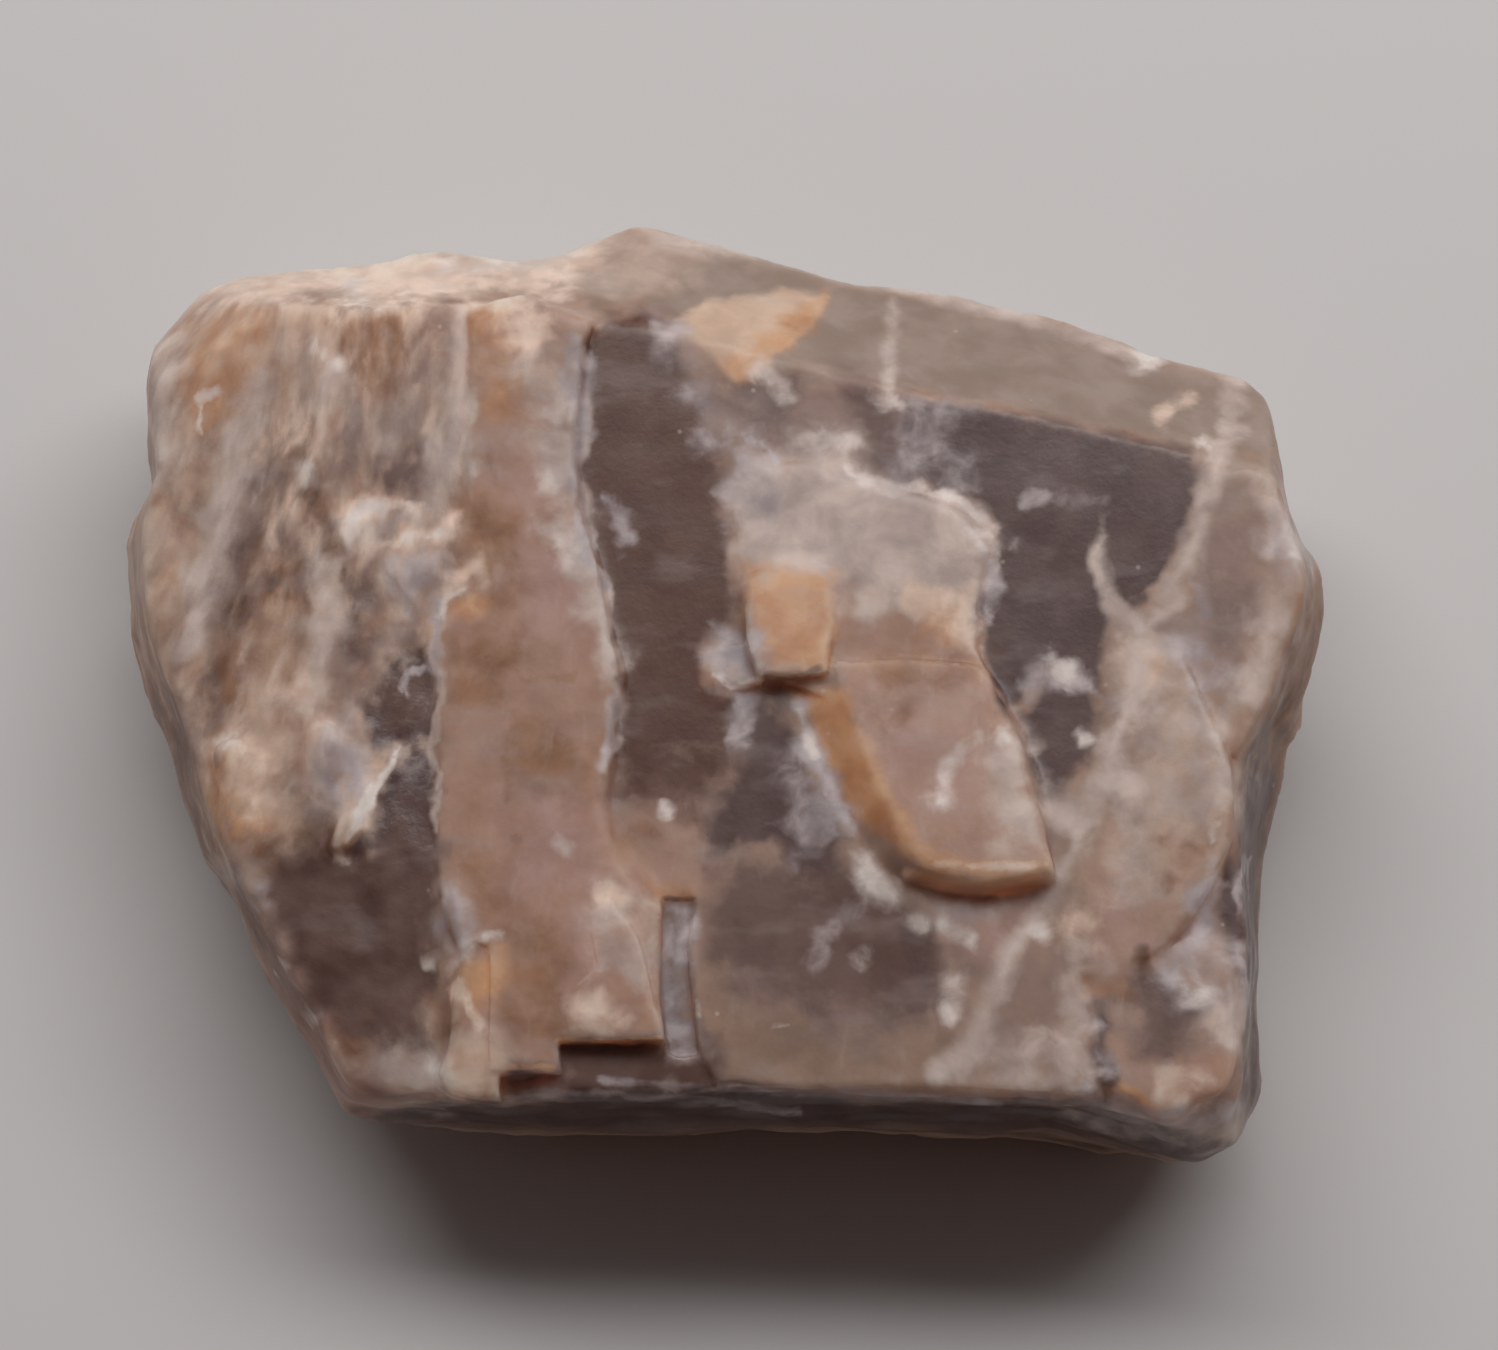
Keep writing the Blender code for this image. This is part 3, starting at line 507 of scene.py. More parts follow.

# Iron: rust in the torn ribs and along the ridge, orange round the slab and the small blocks. The buff line
# on the slab's lip and the orange lines on the front steps are painted light.
zone("rust", [
    area([(510, 935), (552, 930), (560, 980), (560, 1034), (510, 1044)], 1.2, 0.9),
    area([(338, 322), (402, 316), (404, 350), (392, 396), (362, 388), (344, 355)], 1.0, 0.95),
    vein([(186, 380), (183, 410)], 12, 1.1, 0.7), vein([(220, 410), (216, 440)], 12, 1.1, 0.6),
    dab((476, 325), 18), vein([(508, 380), (510, 415)], 14),
    area([(462, 500), (490, 490), (518, 515), (514, 562), (462, 568)], 1.2),
    dab((476, 460), 14, 1.0, 0.8),
    area([(478, 600), (515, 590), (515, 640), (480, 650)], 1.2, 0.7),
    area([(472, 640), (492, 635), (484, 665), (470, 690), (455, 690), (462, 665)]),
    area([(512, 715), (550, 735), (598, 765), (580, 786), (512, 784)], 1.1),
    area([(462, 640), (505, 640), (508, 690), (470, 700)], 1.3, 0.7),
    vein([(511, 720), (508, 770), (502, 790)], 5, 0.6, 0.8),
    vein([(505, 678), (545, 680), (575, 678)], 5, 0.8, 0.6),
    area([(870, 665), (940, 655), (985, 665), (960, 680), (880, 690)], 1.0, 0.7),
    dab((885, 708), 26, 1.0, 0.5),
    area([(1290, 650), (1320, 590), (1325, 650), (1305, 745), (1285, 740)], 1.1, 0.9),
    area([(1275, 700), (1290, 700), (1285, 760), (1270, 760)], 1.0, 0.8),
    area([(1088, 975), (1128, 978), (1122, 995), (1092, 992)], 0.8),
    area([(1165, 840), (1205, 845), (1200, 880), (1170, 880)], 1.2, 0.6),
    dab((346, 1046), 22, 1.1, 0.6), dab((446, 1030), 20, 1.0, 0.7),
    vein([(472, 860), (478, 890)], 12, 1.1, 0.7), dab((494, 905), 18, 1.0, 0.7),
    dab((646, 832), 16, 1.0, 0.6), dab((610, 850), 18, 1.1, 0.6),
    area([(225, 815), (262, 820), (265, 852), (238, 855)], 1.1, 0.8),
    area([(222, 640), (242, 640), (240, 690), (225, 690)], 1.1, 0.6),
    area([(262, 560), (288, 562), (284, 590), (264, 590)], 1.1, 0.7),
    area([(1295, 600), (1320, 575), (1324, 620), (1305, 640)], 1.1, 0.5)])
zone("buff", [
    # painted light: this buff vein lightens the slab's front lip and the shade under it
    vein([(905, 874), (960, 887), (1010, 888), (1050, 880)], (8, 14, 14, 10), 0.8),
    area([(676, 322), (704, 303), (782, 288), (828, 300), (812, 325), (762, 364), (736, 380), (712, 356)],
         0.5),
    area([(770, 575), (828, 578), (830, 658), (786, 660)], 0.8),
    area([(458, 1040), (504, 1036), (504, 1094), (450, 1092), (448, 1060)], 1.0, 0.6)])
zone("orange", [
    area([(795, 692), (845, 690), (866, 740), (895, 800), (925, 845), (985, 862), (1050, 862), (1054, 872),
          (985, 876), (935, 870), (905, 858), (880, 838), (850, 810), (830, 770), (812, 730)], 0.6),
    area([(750, 570), (828, 575), (830, 660), (815, 668), (760, 668), (752, 620)], 0.8),
    area([(828, 300), (812, 324), (766, 362), (740, 379), (726, 366), (758, 344), (796, 310)], 0.9, 0.75),
    area([(188, 316), (252, 306), (258, 365), (240, 405), (205, 425), (186, 395)], 1.4, 0.4),
    area([(460, 960), (504, 945), (504, 1000), (470, 1005)]),
    vein([(492, 310), (497, 360), (498, 410)], 26, 1.2, 0.6),
    vein([(455, 608), (470, 606)], 18, 0.8),
    area([(214, 752), (240, 748), (262, 800), (262, 830), (228, 830), (212, 790)], 1.1, 0.8),
    dab((405, 535), 12, 0.9, 0.7),
    area([(640, 880), (700, 885), (700, 897), (660, 898)], 0.8, 0.8),
    area([(925, 605), (955, 605), (965, 640), (930, 640)], 0.9, 0.7),
    vein([(1120, 1090), (1150, 1104), (1180, 1108)], 10, 0.6),
    # painted glow: orange lines on the shaded faces of the two front steps, for light coming through them
    vein([(560, 1041), (662, 1041)], 6, 0.6, 0.8), vein([(508, 1067), (552, 1067)], 6, 0.6, 0.8),
    dab((1150, 665), 22, 1.2, 0.6)])

zone("rim", [
    area([(120, 420), (140, 320), (180, 262), (240, 240), (420, 240), (600, 220), (700, 232), (704, 280),
          (640, 296), (600, 288), (560, 292), (500, 294), (440, 302), (380, 308), (330, 300), (260, 300),
          (205, 312), (182, 340), (176, 400), (172, 480), (150, 500), (165, 560), (150, 600), (100, 600),
          (80, 560), (85, 520), (130, 470)])])
zone("cream", [
    area([(150, 300), (185, 268), (240, 258), (420, 250), (600, 228), (600, 262), (560, 290), (500, 290),
          (440, 300), (380, 306), (345, 300), (330, 285), (300, 290), (260, 296), (200, 300), (172, 330),
          (165, 330)], 0.9),
    vein([(165, 330), (162, 400), (163, 450)], (20, 14, 12), 1.0, 0.8),
    area([(506, 298), (542, 296), (544, 348), (524, 354), (512, 340)], 0.9, 0.85),
    vein([(344, 545), (352, 518), (368, 506), (395, 503), (410, 510)], (10, 16, 16, 14, 8), 0.8),
    vein([(352, 552), (385, 540), (420, 538), (448, 532), (456, 515)], (8, 14, 14, 14, 8), 0.8),
    area([(432, 600), (445, 575), (470, 560), (484, 578), (465, 592), (445, 605), (432, 620)], 0.7),
    area([(212, 738), (235, 732), (258, 762), (264, 800), (250, 815), (238, 790), (215, 760)], 0.9),
    area([(572, 996), (595, 991), (612, 1003), (628, 1019), (606, 1024), (580, 1018), (570, 1006)], 0.7),
    vein([(600, 898), (625, 894)], 12, 0.7),
    vein([(456, 985), (466, 1010), (480, 1025)], 8, 0.8, 0.8),
    area([(905, 590), (975, 590), (976, 650), (960, 640), (950, 615), (905, 610)], 0.8),
    vein([(1158, 422), (1172, 405), (1190, 400)], 10, 0.9, 0.7),
    area([(1135, 645), (1165, 650), (1165, 700), (1145, 690)], 1.2, 0.8),
    dab((1086, 920), 24, 1.1, 0.8), dab((295, 425), 22, 1.1, 0.6), dab((290, 690), 26, 1.2, 0.7),
    area([(1160, 1068), (1200, 1080), (1195, 1100), (1165, 1100)], 0.8, 0.7),
    vein([(935, 862), (985, 866), (1045, 866)], 6, 0.6, 0.6)])

# Healed seams, the milk-blue haze of fine layers under the surface, and white bruises, with two painted
# glints among them.
zone("seam", [
    vein([(893, 302), (890, 350), (887, 405)], (7, 10, 12), 1.0, 0.85),
    vein([(1230, 385), (1222, 440), (1210, 490), (1195, 530), (1185, 560), (1172, 595), (1152, 628),
          (1138, 650), (1128, 700), (1116, 740), (1104, 780), (1090, 820), (1068, 860), (1045, 905),
          (1010, 950), (990, 1000), (970, 1050), (940, 1074)],
         (8, 10, 12, 14, 14, 16, 14, 16, 14, 15, 16, 18, 18, 12, 16, 20, 22, 24), 0.9),
    vein([(1104, 518), (1098, 552), (1104, 582), (1120, 610), (1148, 634)], (3, 9, 14, 15, 10), 0.9),
    vein([(262, 375), (250, 400), (236, 440), (225, 500), (212, 550), (200, 610), (190, 650)],
         (10, 20, 26, 24, 18, 14, 8), 1.2, 0.9),
    vein([(168, 320), (160, 380), (160, 440), (165, 480)], (26, 24, 22, 12), 1.2, 0.9),
    vein([(318, 540), (320, 600), (314, 660)], (6, 7, 5), 1.0, 0.8),
    vein([(440, 640), (437, 600), (441, 680), (432, 760), (436, 830)], (6, 8, 6, 6, 4), 0.9, 0.7),
    vein([(458, 440), (462, 400), (458, 350), (462, 315)], (12, 9, 8, 6), 0.9, 0.8),
    vein([(575, 340), (580, 400), (578, 450), (584, 520), (596, 570), (604, 620), (612, 660), (616, 690),
          (612, 740), (606, 765)], (8, 16, 12, 10, 12, 10, 10, 10, 9, 7), 0.9, 0.85),
    vein([(660, 238), (760, 254), (860, 278), (1000, 311), (1100, 342), (1150, 360)], 9, 1.0, 0.9)])
zone("haze", [
    vein([(572, 340), (578, 380), (580, 420), (584, 425)], (12, 20, 22, 10), 0.8),
    vein([(576, 440), (578, 500), (590, 560), (600, 585)], (10, 10, 16, 10), 0.8),
    vein([(606, 498), (620, 515), (628, 545)], (8, 14, 10), 0.9, 0.8),
    vein([(616, 690), (612, 735), (604, 765)], 10, 0.7),
    area([(708, 650), (722, 636), (762, 634), (764, 670), (740, 682), (716, 680)], 0.8),
    vein([(800, 705), (806, 740), (822, 770), (835, 800), (850, 825)], (10, 16, 20, 16, 12), 0.8),
    vein([(740, 690), (745, 720), (740, 740)], 14, 1.0, 0.6),
    area([(790, 780), (820, 775), (830, 830), (800, 850)], 1.2, 0.6),
    vein([(1025, 700), (1035, 680), (1060, 668), (1085, 685), (1110, 705)], (10, 16, 18, 14, 10), 0.9),
    area([(728, 475), (770, 465), (780, 500), (735, 520)], 1.2, 0.48),
    vein([(984, 552), (994, 582), (988, 616)], (8, 12, 8), 0.8, 0.9),
    area([(902, 404), (955, 412), (965, 462), (930, 484), (902, 470)], 1.4, 0.42),
    vein([(600, 1082), (720, 1088), (860, 1094), (1000, 1102)], 5, 0.9, 0.5),
    vein([(740, 440), (765, 450), (775, 460)], 6, 0.7),
    area([(700, 400), (715, 430), (750, 440), (750, 460), (720, 450)], 1.3, 0.45),
    vein([(670, 330), (685, 360), (695, 390)], 16, 1.2, 0.5),
    area([(1175, 620), (1205, 640), (1215, 690), (1195, 700), (1170, 650)], 1.1, 0.9),
    vein([(1196, 590), (1200, 615)], 12, 1.0, 0.8),
    area([(1270, 520), (1300, 535), (1310, 560), (1290, 560), (1275, 545)], 0.9),
    vein([(1212, 870), (1200, 905), (1195, 935)], (14, 22, 20), 0.9),
    area([(1165, 945), (1200, 935), (1235, 945), (1243, 985), (1210, 1000), (1180, 1000), (1160, 975)],
         1.3, 0.7),
    # a painted glint on the right edge
    vein([(1244, 855), (1241, 885), (1240, 910)], (5, 8, 6), 0.6),
    vein([(1090, 1020), (1105, 1040), (1110, 1060)], 14, 1.0, 0.6),
    vein([(668, 925), (667, 980), (670, 1040)], (8, 10, 8), 0.7, 0.9),
    area([(676, 910), (692, 910), (694, 1050), (676, 1050)], 1.0, 0.5),
    vein([(520, 1092), (620, 1096), (700, 1100), (800, 1112)], 5, 0.8, 0.6),
    vein([(448, 890), (455, 920), (468, 945)], (12, 24, 14)),
    vein([(404, 690), (412, 672), (428, 668)], 6, 0.8, 0.8),
    area([(325, 750), (352, 745), (358, 790), (335, 806)], 1.0, 0.8),
    vein([(437, 600), (436, 640), (438, 680)], (8, 6, 6), 0.8, 0.9),
    area([(945, 905), (1000, 905), (980, 925), (950, 925)], 0.9, 0.8),
    vein([(812, 965), (826, 935), (845, 915)], (12, 18, 12), 1.1, 0.7),
    vein([(1090, 1098), (1150, 1120), (1236, 1112)], 16, 1.0, 0.6),
    area([(400, 560), (440, 560), (430, 620), (410, 620)], 1.2, 0.7),
    vein([(225, 870), (245, 880), (262, 900)], 14, 1.2, 0.5),
    vein([(1030, 500), (1080, 505), (1100, 500)], 10, 1.0, 0.3)])
zone("white", [
    vein([(397, 752), (381, 775), (363, 806), (344, 838)], (6, 9, 12, 8), 0.5),
    vein([(335, 845), (345, 860), (352, 862)], 6, 0.9, 0.8),
    area([(455, 952), (466, 940), (478, 944), (470, 960), (456, 964)], 0.6),
    vein([(486, 938), (500, 936)], 8, 0.6, 0.9), dab((434, 958), 8, 0.8, 0.7),
    vein([(845, 470), (878, 488), (920, 487), (950, 498), (980, 518), (992, 530)],
         (5, 10, 10, 10, 10, 8), 0.7, 0.9),
    area([(970, 535), (996, 535), (998, 552), (976, 554)], 0.6, 0.9),
    vein([(805, 440), (842, 444)], 12, 0.9, 0.7),
    vein([(760, 368), (776, 382), (786, 398)], 12, 1.0, 0.6), dab((888, 402), 16, 1.0, 0.5),
    area([(852, 850), (868, 850), (885, 880), (892, 896), (870, 890), (856, 872)], 0.7, 0.9),
    vein([(800, 712), (806, 735), (816, 755)], (5, 9, 5), 0.8, 0.7),
    dab((918, 925), 14, 0.8, 0.8), vein([(944, 926), (970, 938)], 12, 0.9, 0.8), dab((955, 985), 18, 0.8),
    dab((952, 1012), 14, 1.0, 0.7), dab((1040, 930), 16, 0.8, 0.9), dab((860, 955), 14, 1.0, 0.8),
    vein([(774, 1025), (788, 1025)], 4, 0.7, 0.8),
    vein([(940, 795), (944, 770), (957, 750), (978, 735), (1002, 730)], (10, 9, 9, 11, 14), 0.9, 0.7),
    dab((938, 798), 16, 0.8, 0.85),
    dab((555, 470), 18, 0.9, 0.8), vein([(548, 530), (565, 545)], 20, 1.0, 0.7),
    dab((555, 418), 16, 1.0, 0.6),
    dab((558, 850), 10, 1.4, 0.4), dab((666, 812), 11, 0.7, 0.8),
    # the dab at (1205, 438) is a painted glint
    dab((1148, 358), 20, 0.9, 0.8), dab((1205, 438), 10, 0.8, 0.9), dab((1297, 545), 20, 1.0, 0.9),
    dab((1215, 750), 16, 1.0, 0.7), vein([(1211, 822), (1210, 834)], 7, 0.7, 0.8),
    dab((1195, 990), 16, 1.1, 0.6),
    dab((1063, 668), 16, 0.9, 0.8), vein([(1078, 730), (1092, 738)], 10, 0.9, 0.8),
    vein([(305, 345), (325, 355)], 10, 0.9, 0.8), dab((338, 362), 10, 0.8, 0.8),
    vein([(200, 400), (218, 388)], 6, 0.8, 0.8), vein([(203, 405), (200, 430)], 5, 0.8, 0.6),
    vein([(348, 285), (362, 300)], 14, 1.0, 0.7), dab((305, 475), 16, 1.0, 0.5),
    vein([(345, 548), (352, 520), (368, 506)], 8, 0.8, 0.8), vein([(380, 506), (405, 506)], 8, 0.8, 0.8),
    vein([(395, 541), (430, 537), (446, 530)], 7, 0.8, 0.7), vein([(296, 460), (306, 488)], 8, 0.9, 0.6),
    vein([(440, 614), (446, 600), (462, 590)], 7, 0.7, 0.8), vein([(215, 742), (235, 735)], 8, 0.9, 0.8),
    dab((440, 1075), 14, 1.0, 0.6), dab((312, 1018), 9, 0.9, 0.6), dab((285, 968), 8, 0.9, 0.5),
    vein([(716, 678), (740, 684), (758, 680)], 5, 0.7, 0.7), vein([(697, 1000), (699, 1015)], 5, 0.7, 0.8),
    vein([(440, 262), (500, 260), (560, 258)], 12, 1.4, 0.7), dab((470, 465), 12, 1.0, 0.6)])

# Stains, cracks and painted shade: a painted shadow held under the lip of the slab, and dark iron-brown
# marks in the cracks and torn hollows, partly dirt and partly painted shade.
zone("stain_and_painted_shade", [
    # the painted shadow under the tan block's lower edge
    vein([(768, 676), (800, 677), (818, 669)], (6, 9, 6), 0.6, 0.8),
    area([(302, 495), (320, 492), (330, 520), (336, 555), (322, 555), (312, 520)], 0.9, 0.8),
    dab((346, 580), 14, 1.0, 0.8), dab((270, 575), 14, 1.0, 0.6), dab((286, 592), 12, 1.0, 0.5),
    dab((240, 610), 16, 1.1, 0.5), vein([(400, 640), (420, 640)], 14, 1.0, 0.7),
    vein([(1140, 957), (1146, 975)], 14, 0.8, 0.8),
    area([(298, 805), (325, 815), (330, 850), (308, 850)], 1.2, 0.5),
    dab((346, 1050), 12, 1.0, 0.6), dab((448, 1034), 11, 0.9, 0.6), dab((1285, 706), 10, 0.9, 0.7),
    vein([(662, 899), (700, 899)], 4, 0.8, 0.6), dab((518, 840), 8, 1.0, 0.5),
    dab((330, 965), 12, 1.2, 0.4)])


# ---- Feldspar's finish -----------------------------------------------------------------------
# Milky, slightly translucent feldspar with a glassy lustre on its cleavages and a dull, granular
# one where it broke. Every zone is one layer, laid over the last with a ragged border.
def add_node(kind, settings=None, inputs=None):
    """A node in the tree at hand, its inputs filled in from values or linked from sockets."""
    made = tree.nodes.new(kind)
    for name, value in (settings or {}).items():
        setattr(made, name, value)
    for name, value in (inputs or {}).items():
        socket = made.inputs[name]
        if isinstance(value, bpy.types.NodeSocket):
            tree.links.new(value, socket)
        else:
            socket.default_value = value
    return made


def calc(operation, first, second=0.0, third=0.0):
    """One Math node; gives its output."""
    made = add_node("ShaderNodeMath", {"operation": operation}, {0: first, 1: second, 2: third})
    return made.outputs[0]


def blend(share, under, over):
    """One Mix node for plain numbers; gives its output."""
    made = add_node("ShaderNodeMix", {"data_type": "FLOAT"}, {"Factor": share, 2: under, 3: over})
    return made.outputs[0]


def stretched(vector, scale, shift=(0.0, 0.0, 0.0)):
    """A place stretched and shifted, so that a pattern on it is drawn out."""
    made = add_node("ShaderNodeMapping", None, {"Vector": vector, "Scale": scale, "Location": shift})
    return made.outputs[0]


def mix_colour(share, under, over, kind="MIX"):
    """One colour Mix node; gives its output."""
    made = add_node("ShaderNodeMix", {"data_type": "RGBA", "blend_type": kind},
                    {"Factor": share, 6: under, 7: over})
    return made.outputs[2]


def span(value, low, high, out_low=0.0, out_high=1.0):
    """One Map Range node with smooth ends."""
    made = add_node("ShaderNodeMapRange", {"interpolation_type": "SMOOTHSTEP"},
                    {"Value": value, "From Min": low, "From Max": high,
                     "To Min": out_low, "To Max": out_high})
    return made.outputs[0]


def noise_of(vector, scale, detail=4.0, roughness=0.55, distortion=0.0):
    """One Noise Texture; gives its value."""
    made = add_node("ShaderNodeTexNoise", None,
                    {"Vector": vector, "Scale": scale, "Detail": detail, "Roughness": roughness,
                     "Distortion": distortion})
    return made.outputs["Fac"]


tree = ragged = bpy.data.node_groups.new("ragged zone border", "ShaderNodeTree")
for socket_name in ("Depth", "Noise", "Raggedness", "Softness"):
    ragged.interface.new_socket(socket_name, in_out="INPUT", socket_type="NodeSocketFloat")
ragged.interface.new_socket("Mask", in_out="OUTPUT", socket_type="NodeSocketFloat")
source = ragged.nodes.new("NodeGroupInput")
sink = ragged.nodes.new("NodeGroupOutput")
shifted = calc("MULTIPLY_ADD", calc("SUBTRACT", source.outputs["Noise"], 0.5),
               source.outputs["Raggedness"], source.outputs["Depth"])
ragged.links.new(span(shifted, calc("MULTIPLY", source.outputs["Softness"], -1.0),
                      source.outputs["Softness"]), sink.inputs["Mask"])

feldspar = bpy.data.materials.new("milky_feldspar")
feldspar.use_nodes = True
tree = feldspar.node_tree
shader = tree.nodes["Principled BSDF"]
object_place = add_node("ShaderNodeTexCoord").outputs["Object"]
place = stretched(object_place, (1 / MM,) * 3)
rib_vector = add_node("ShaderNodeAttribute", {"attribute_name": "rib_place"}).outputs["Vector"]
rib_stretch = stretched(rib_vector, (0.66, 0.38, 1.0))
rib_shift = stretched(rib_vector, (0.6, 0.40, 1.0), (40.0, 7.0, 0.0))

border_noise = noise_of(place, 0.8, 3.5, 0.5, 0.3)
rib_border = noise_of(rib_stretch, 1.7, 4.0, 0.5, 0.2)
cloud = noise_of(place, 0.42, 3.0, 0.5, 0.6)
drift = noise_of(place, 0.55, 4.0, 0.5, 0.3)
streak = noise_of(rib_stretch, 1.2, 3.0, 0.45, 0.3)


def painted(name):
    """The number that a vertex carries under this name."""
    return add_node("ShaderNodeAttribute", {"attribute_name": name}).outputs["Fac"]


def mask_of(name, raggedness, softness, pattern):
    """The mask of one painted zone."""
    group = add_node("ShaderNodeGroup", {"node_tree": ragged},
                     {"Depth": painted(name), "Noise": pattern, "Raggedness": raggedness,
                      "Softness": softness})
    return group.outputs["Mask"]


LIGHT_GAIN, LIGHTEST = 1.40, 0.95
BODY_TONES, FIBRE_TONES = ((136, 112, 100), (154, 127, 112)), ((131, 107, 96), (193, 170, 154))
SHEET_TONES = (112, 88, 79), (170, 142, 126)
RUST_FIBRE, GREY_FIBRE = (166, 124, 92), (122, 102, 98)
BLUSH, VEIL, MIST = (146, 106, 80), (176, 158, 148), (150, 138, 136)
BRUISE_AND_HIGHLIGHT, DUST = (192, 172, 160), (205, 192, 184)


def tone(shade):
    """A shade of feldspar as the eye sees it, 0-255, turned into the linear colour of the stone."""
    linear = [((c / 255 + 0.055) / 1.055) ** 2.4 for c in shade]
    return (*[min(c * LIGHT_GAIN, LIGHTEST) for c in linear], 1.0)


def between(pattern, low, high, tones):
    """From the darker to the lighter of two tones as a pattern rises."""
    return mix_colour(span(pattern, low, high), tone(tones[0]), tone(tones[1]))


def veiled(under, mask, shade):
    """One more shade, laid over what is there."""
    return mix_colour(mask, under, tone(shade))


in_field = mask_of("rough_field", 0.6, 0.35, rib_border)
border = blend(in_field, border_noise, rib_border)
varied = blend(in_field, drift, streak)
colour = between(cloud, 0.35, 0.65, BODY_TONES)
# fibres of the left field: brown to cream, here tinged with rust and there with blue grey
fibres = between(streak, 0.30, 0.70, FIBRE_TONES)
rusty = span(noise_of(rib_shift, 1.1, 4.0, 0.6), 0.50, 0.72, 0.0, 0.45)
fibres = veiled(fibres, rusty, RUST_FIBRE)
greyed = span(noise_of(rib_shift, 1.3, 3.0, 0.5, 0.5), 0.48, 0.30, 0.0, 0.45)
fibres = veiled(fibres, greyed, GREY_FIBRE)
colour = mix_colour(in_field, colour, fibres)

LAYERS = [
    # zone, raggedness, softness, darker and lighter tone
    ("tan", 3.0, 1.00, (154, 127, 110), (177, 152, 134)),
    ("dun", 1.2, 0.45, (130, 112, 101), (144, 126, 116)),
    ("umber", 3.0, 1.10, (122, 98, 83), (138, 113, 97)),
    ("mauve", 3.0, 1.00, (118, 97, 90), (139, 115, 106)),
    ("peach", 2.4, 0.70, (145, 113, 97), (160, 129, 113)),
    ("plum_glass", 1.8, 0.60, (82, 53, 44), (95, 67, 57)),
    ("smoky_glass", 2.0, 0.55, (75, 55, 53), (91, 71, 67)),
    ("dusk", 1.8, 0.70, (90, 67, 61), (106, 82, 75)),
    ("pink", 3.0, 1.00, (150, 117, 107), (164, 133, 124)),
    ("pale", 3.0, 0.85, (154, 138, 131), (187, 170, 161)),
    ("rust", 3.0, 0.80, (118, 82, 58), (146, 108, 82)),
    ("buff", 1.2, 0.45, (176, 150, 130), (192, 167, 147)),
    ("orange", 1.8, 0.60, (164, 118, 84), (184, 144, 111)),
    ("rim", 1.6, 0.80, (150, 130, 118), (174, 153, 141)),
    ("cream", 2.8, 0.75, (184, 161, 145), (213, 192, 177)),
    ("seam", 1.6, 0.75, (164, 147, 139), (190, 175, 167)),
    ("haze", 3.0, 0.75, (136, 124, 125), (180, 169, 169)),
    ("white", 2.8, 0.75, (176, 163, 156), (212, 202, 196)),
    # this layer carries real stains and also painted shade
    ("stain_and_painted_shade", 2.0, 0.60, (84, 57, 43), (110, 79, 60)),
]
for zone_name, raggedness, softness, dark, light in LAYERS:
    laid = between(varied, 0.30, 0.70, (dark, light))
    colour = mix_colour(mask_of(zone_name, raggedness, softness, border), colour, laid)

# a blush of iron clouds the milky parts, and milky veils cross all but the clear ones
glass = calc("MAXIMUM", mask_of("plum_glass", 0.5, 0.4, border), mask_of("smoky_glass", 0.5, 0.4, border))
clear = glass
for zone_name, raggedness in (("dun", 1.0), ("dusk", 1.6), ("haze", 2.0), ("white", 2.0)):
    clear = calc("MAXIMUM", clear, mask_of(zone_name, raggedness, 0.6, border))
clouded = calc("SUBTRACT", 1.0, clear)
blush = span(noise_of(rib_shift, 0.9, 3.0, 0.5, 0.2), 0.50, 0.70, 0.0, 0.32)
blush = calc("MULTIPLY", blush, clouded)
blush = calc("MULTIPLY", blush, calc("MAXIMUM", in_field, mask_of("peach", 1.0, 0.6, border)))
colour = veiled(colour, blush, BLUSH)
veil = noise_of(stretched(rib_vector, (1.0, 0.4, 1.0)), 1.1, 4.0, 0.6, 0.3)
veil = calc("MULTIPLY", span(veil, 0.54, 0.74, 0.0, 0.22), clouded)
colour = veiled(colour, veil, VEIL)
mist = noise_of(stretched(place, (0.5, 1.1, 1.0)), 0.6, 3.0, 0.5)
colour = veiled(colour, span(mist, 0.52, 0.72, 0.0, 0.22), MIST)
# painted light: sunken edges are lightened a little against their shade, and proud ones get a pale rim,
# partly bruising and partly a painted highlight
SUNK_PAINTED_LIGHT = (1.18, 1.2, 1.22, 1.0)
colour = mix_colour(span(painted("sunk_rim"), 0.0, 0.7, 0.7, 0.0), colour, SUNK_PAINTED_LIGHT, "MULTIPLY")
rim_reach = calc("MULTIPLY_ADD", calc("SUBTRACT", border_noise, 0.47), -1.8, painted("proud_rim"))
colour = veiled(colour, span(rim_reach, -0.20, 0.35, 0.14, 0.0), BRUISE_AND_HIGHLIGHT)
# towards the base the walls are massive brown feldspar in level sheets
height = add_node("ShaderNodeSeparateXYZ", None, {"Vector": place}).outputs["Z"]
sheets = noise_of(stretched(place, (0.30, 0.30, 1.1)), 0.8, 5.0, 0.6, 0.4)
massive = between(sheets, 0.36, 0.64, SHEET_TONES)
colour = mix_colour(span(height, 4.0, 7.4, 0.85, 0.0), colour, massive)
# a few white specks of dust
speck = add_node("ShaderNodeTexVoronoi", {"feature": "F1"}, {"Vector": place, "Scale": 0.7})
chance = add_node("ShaderNodeSeparateColor", None, {"Color": speck.outputs["Color"]}).outputs[0]
speck_mask = calc("MULTIPLY", span(speck.outputs["Distance"], 0.02, 0.10, 0.3, 0.0),
                  span(chance, 0.74, 0.76))
colour = veiled(colour, speck_mask, DUST)
tree.links.new(colour, shader.inputs["Base Color"])

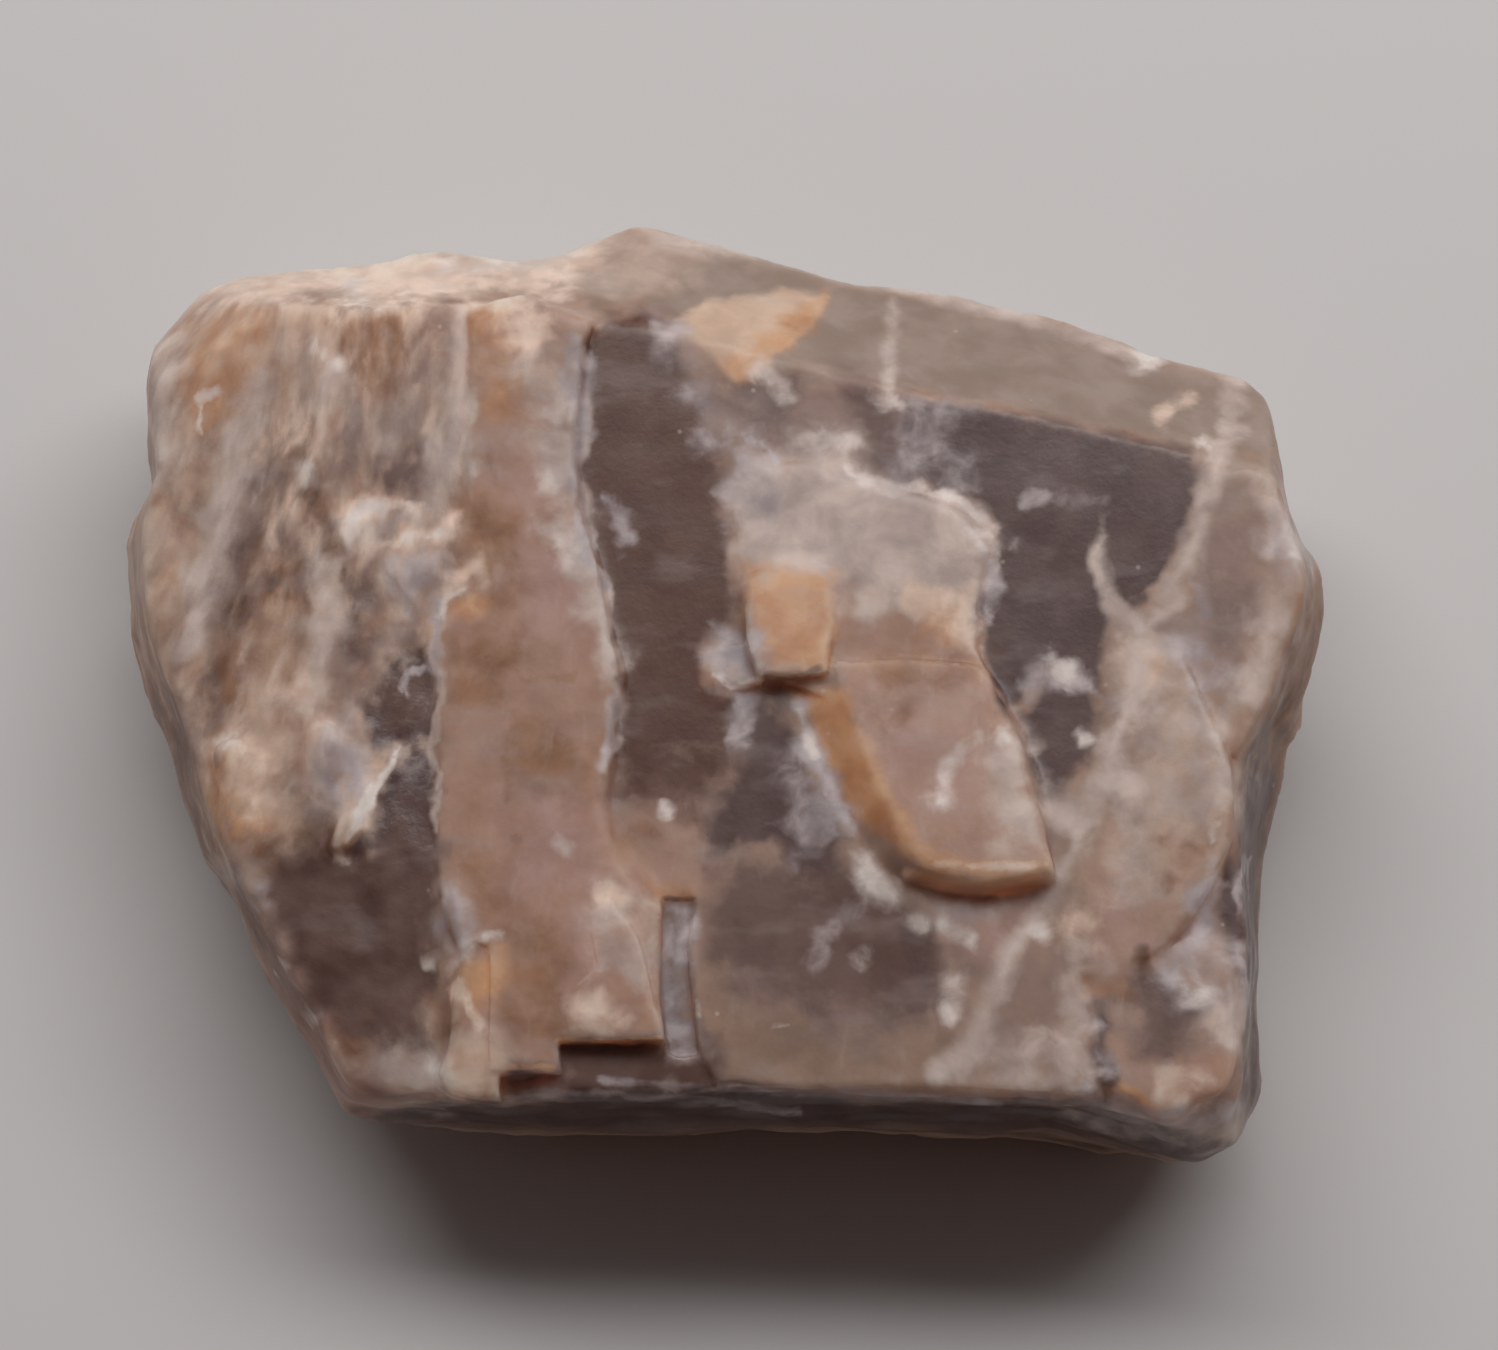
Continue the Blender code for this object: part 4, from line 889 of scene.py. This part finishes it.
# lustre: the windows are glassy, the plates satin, the torn left field dull and granular
PLATE_DULLNESS, TORN_DULLNESS, GLASS_DULLNESS = (0.36, 0.50), 0.58, 0.34
lustre = blend(in_field, span(border_noise, 0.35, 0.65, *PLATE_DULLNESS), TORN_DULLNESS)
tree.links.new(blend(glass, lustre, GLASS_DULLNESS), shader.inputs["Roughness"])
grain = noise_of(place, 3.4, 4.0, 0.6)
torn = noise_of(rib_stretch, 2.4, 5.0, 0.6)
PLATE_GRAIN, TORN_GRAIN, TORN_RIBS, RELIEF_DEPTH = 0.16, 0.4, 0.6, 0.12
relief = blend(in_field, calc("MULTIPLY", grain, PLATE_GRAIN),
               calc("MULTIPLY_ADD", torn, TORN_RIBS, calc("MULTIPLY", grain, TORN_GRAIN)))
bump = add_node("ShaderNodeBump", None,
                {"Strength": 0.55, "Distance": RELIEF_DEPTH * MM, "Height": relief})
tree.links.new(bump.outputs["Normal"], shader.inputs["Normal"])
for socket_name, value in (("IOR", 1.53), ("Specular IOR Level", 0.32), ("Subsurface Weight", 0.85),
                           ("Subsurface Radius", (1.0, 0.8, 0.7)), ("Subsurface Scale", 4.0 * MM)):
    shader.inputs[socket_name].default_value = value
stone.data.materials.append(feldspar)
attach(stone, "root")
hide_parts("moonstone")


# ---- Floor and light -------------------------------------------------------------------------
# A plain pale floor, with one broad soft lamp high behind the stone and a grey room around it.
FLOOR_REACH = 900.0
FLOOR_TONE, FLOOR_DULLNESS = (0.72, 0.705, 0.70, 1.0), 0.9
floor_mesh = bmesh.new()
bmesh.ops.create_grid(floor_mesh, x_segments=1, y_segments=1, size=FLOOR_REACH * MM)
floor = put_in_scene("floor", bpy.data.meshes.new("floor"))
floor_mesh.to_mesh(floor.data)
floor_mesh.free()
paper = bpy.data.materials.new("pale_floor")
paper.use_nodes = True
paper.node_tree.nodes["Principled BSDF"].inputs["Base Color"].default_value = FLOOR_TONE
paper.node_tree.nodes["Principled BSDF"].inputs["Roughness"].default_value = FLOOR_DULLNESS
floor.data.materials.append(paper)

LAMP_PLACE, LAMP_SIZE = Vector((25.0, 190.0, 298.0)), (560.0, 110.0)
LAMP_WATTS, LAMP_TONE = 1.12, (1.0, 0.985, 0.975)
window = bpy.data.lights.new("window", "AREA")
window.shape = "RECTANGLE"
window.size, window.size_y = LAMP_SIZE[0] * MM, LAMP_SIZE[1] * MM
window.energy = LAMP_WATTS
window.color = LAMP_TONE
lamp = put_in_scene("window", window)
lamp.location = LAMP_PLACE * MM
lamp.rotation_mode = "QUATERNION"
lamp.rotation_quaternion = (AIM - lamp.location).to_track_quat("-Z", "Y")

# the room is bright behind the stone and dark in front of it
ROOM_BACK, ROOM_FRONT = 0.20, 0.04
BACK_TONE, FRONT_TONE = (0.96, 0.97, 1.0, 1.0), (1.0, 0.62, 0.52, 1.0)
room = bpy.data.worlds.new("room")
room.use_nodes = True
tree = room.node_tree
towards = add_node("ShaderNodeSeparateXYZ", None,
                   {"Vector": add_node("ShaderNodeTexCoord").outputs["Generated"]})
sky_strength = span(towards.outputs["Y"], -0.35, 0.65, ROOM_FRONT, ROOM_BACK)
sky_tone = mix_colour(span(towards.outputs["Y"], -0.35, 0.4), FRONT_TONE, BACK_TONE)
tree.links.new(sky_tone, tree.nodes["Background"].inputs["Color"])
tree.links.new(sky_strength, tree.nodes["Background"].inputs["Strength"])
bpy.context.scene.world = room
bpy.context.scene.view_settings.view_transform = "Standard"
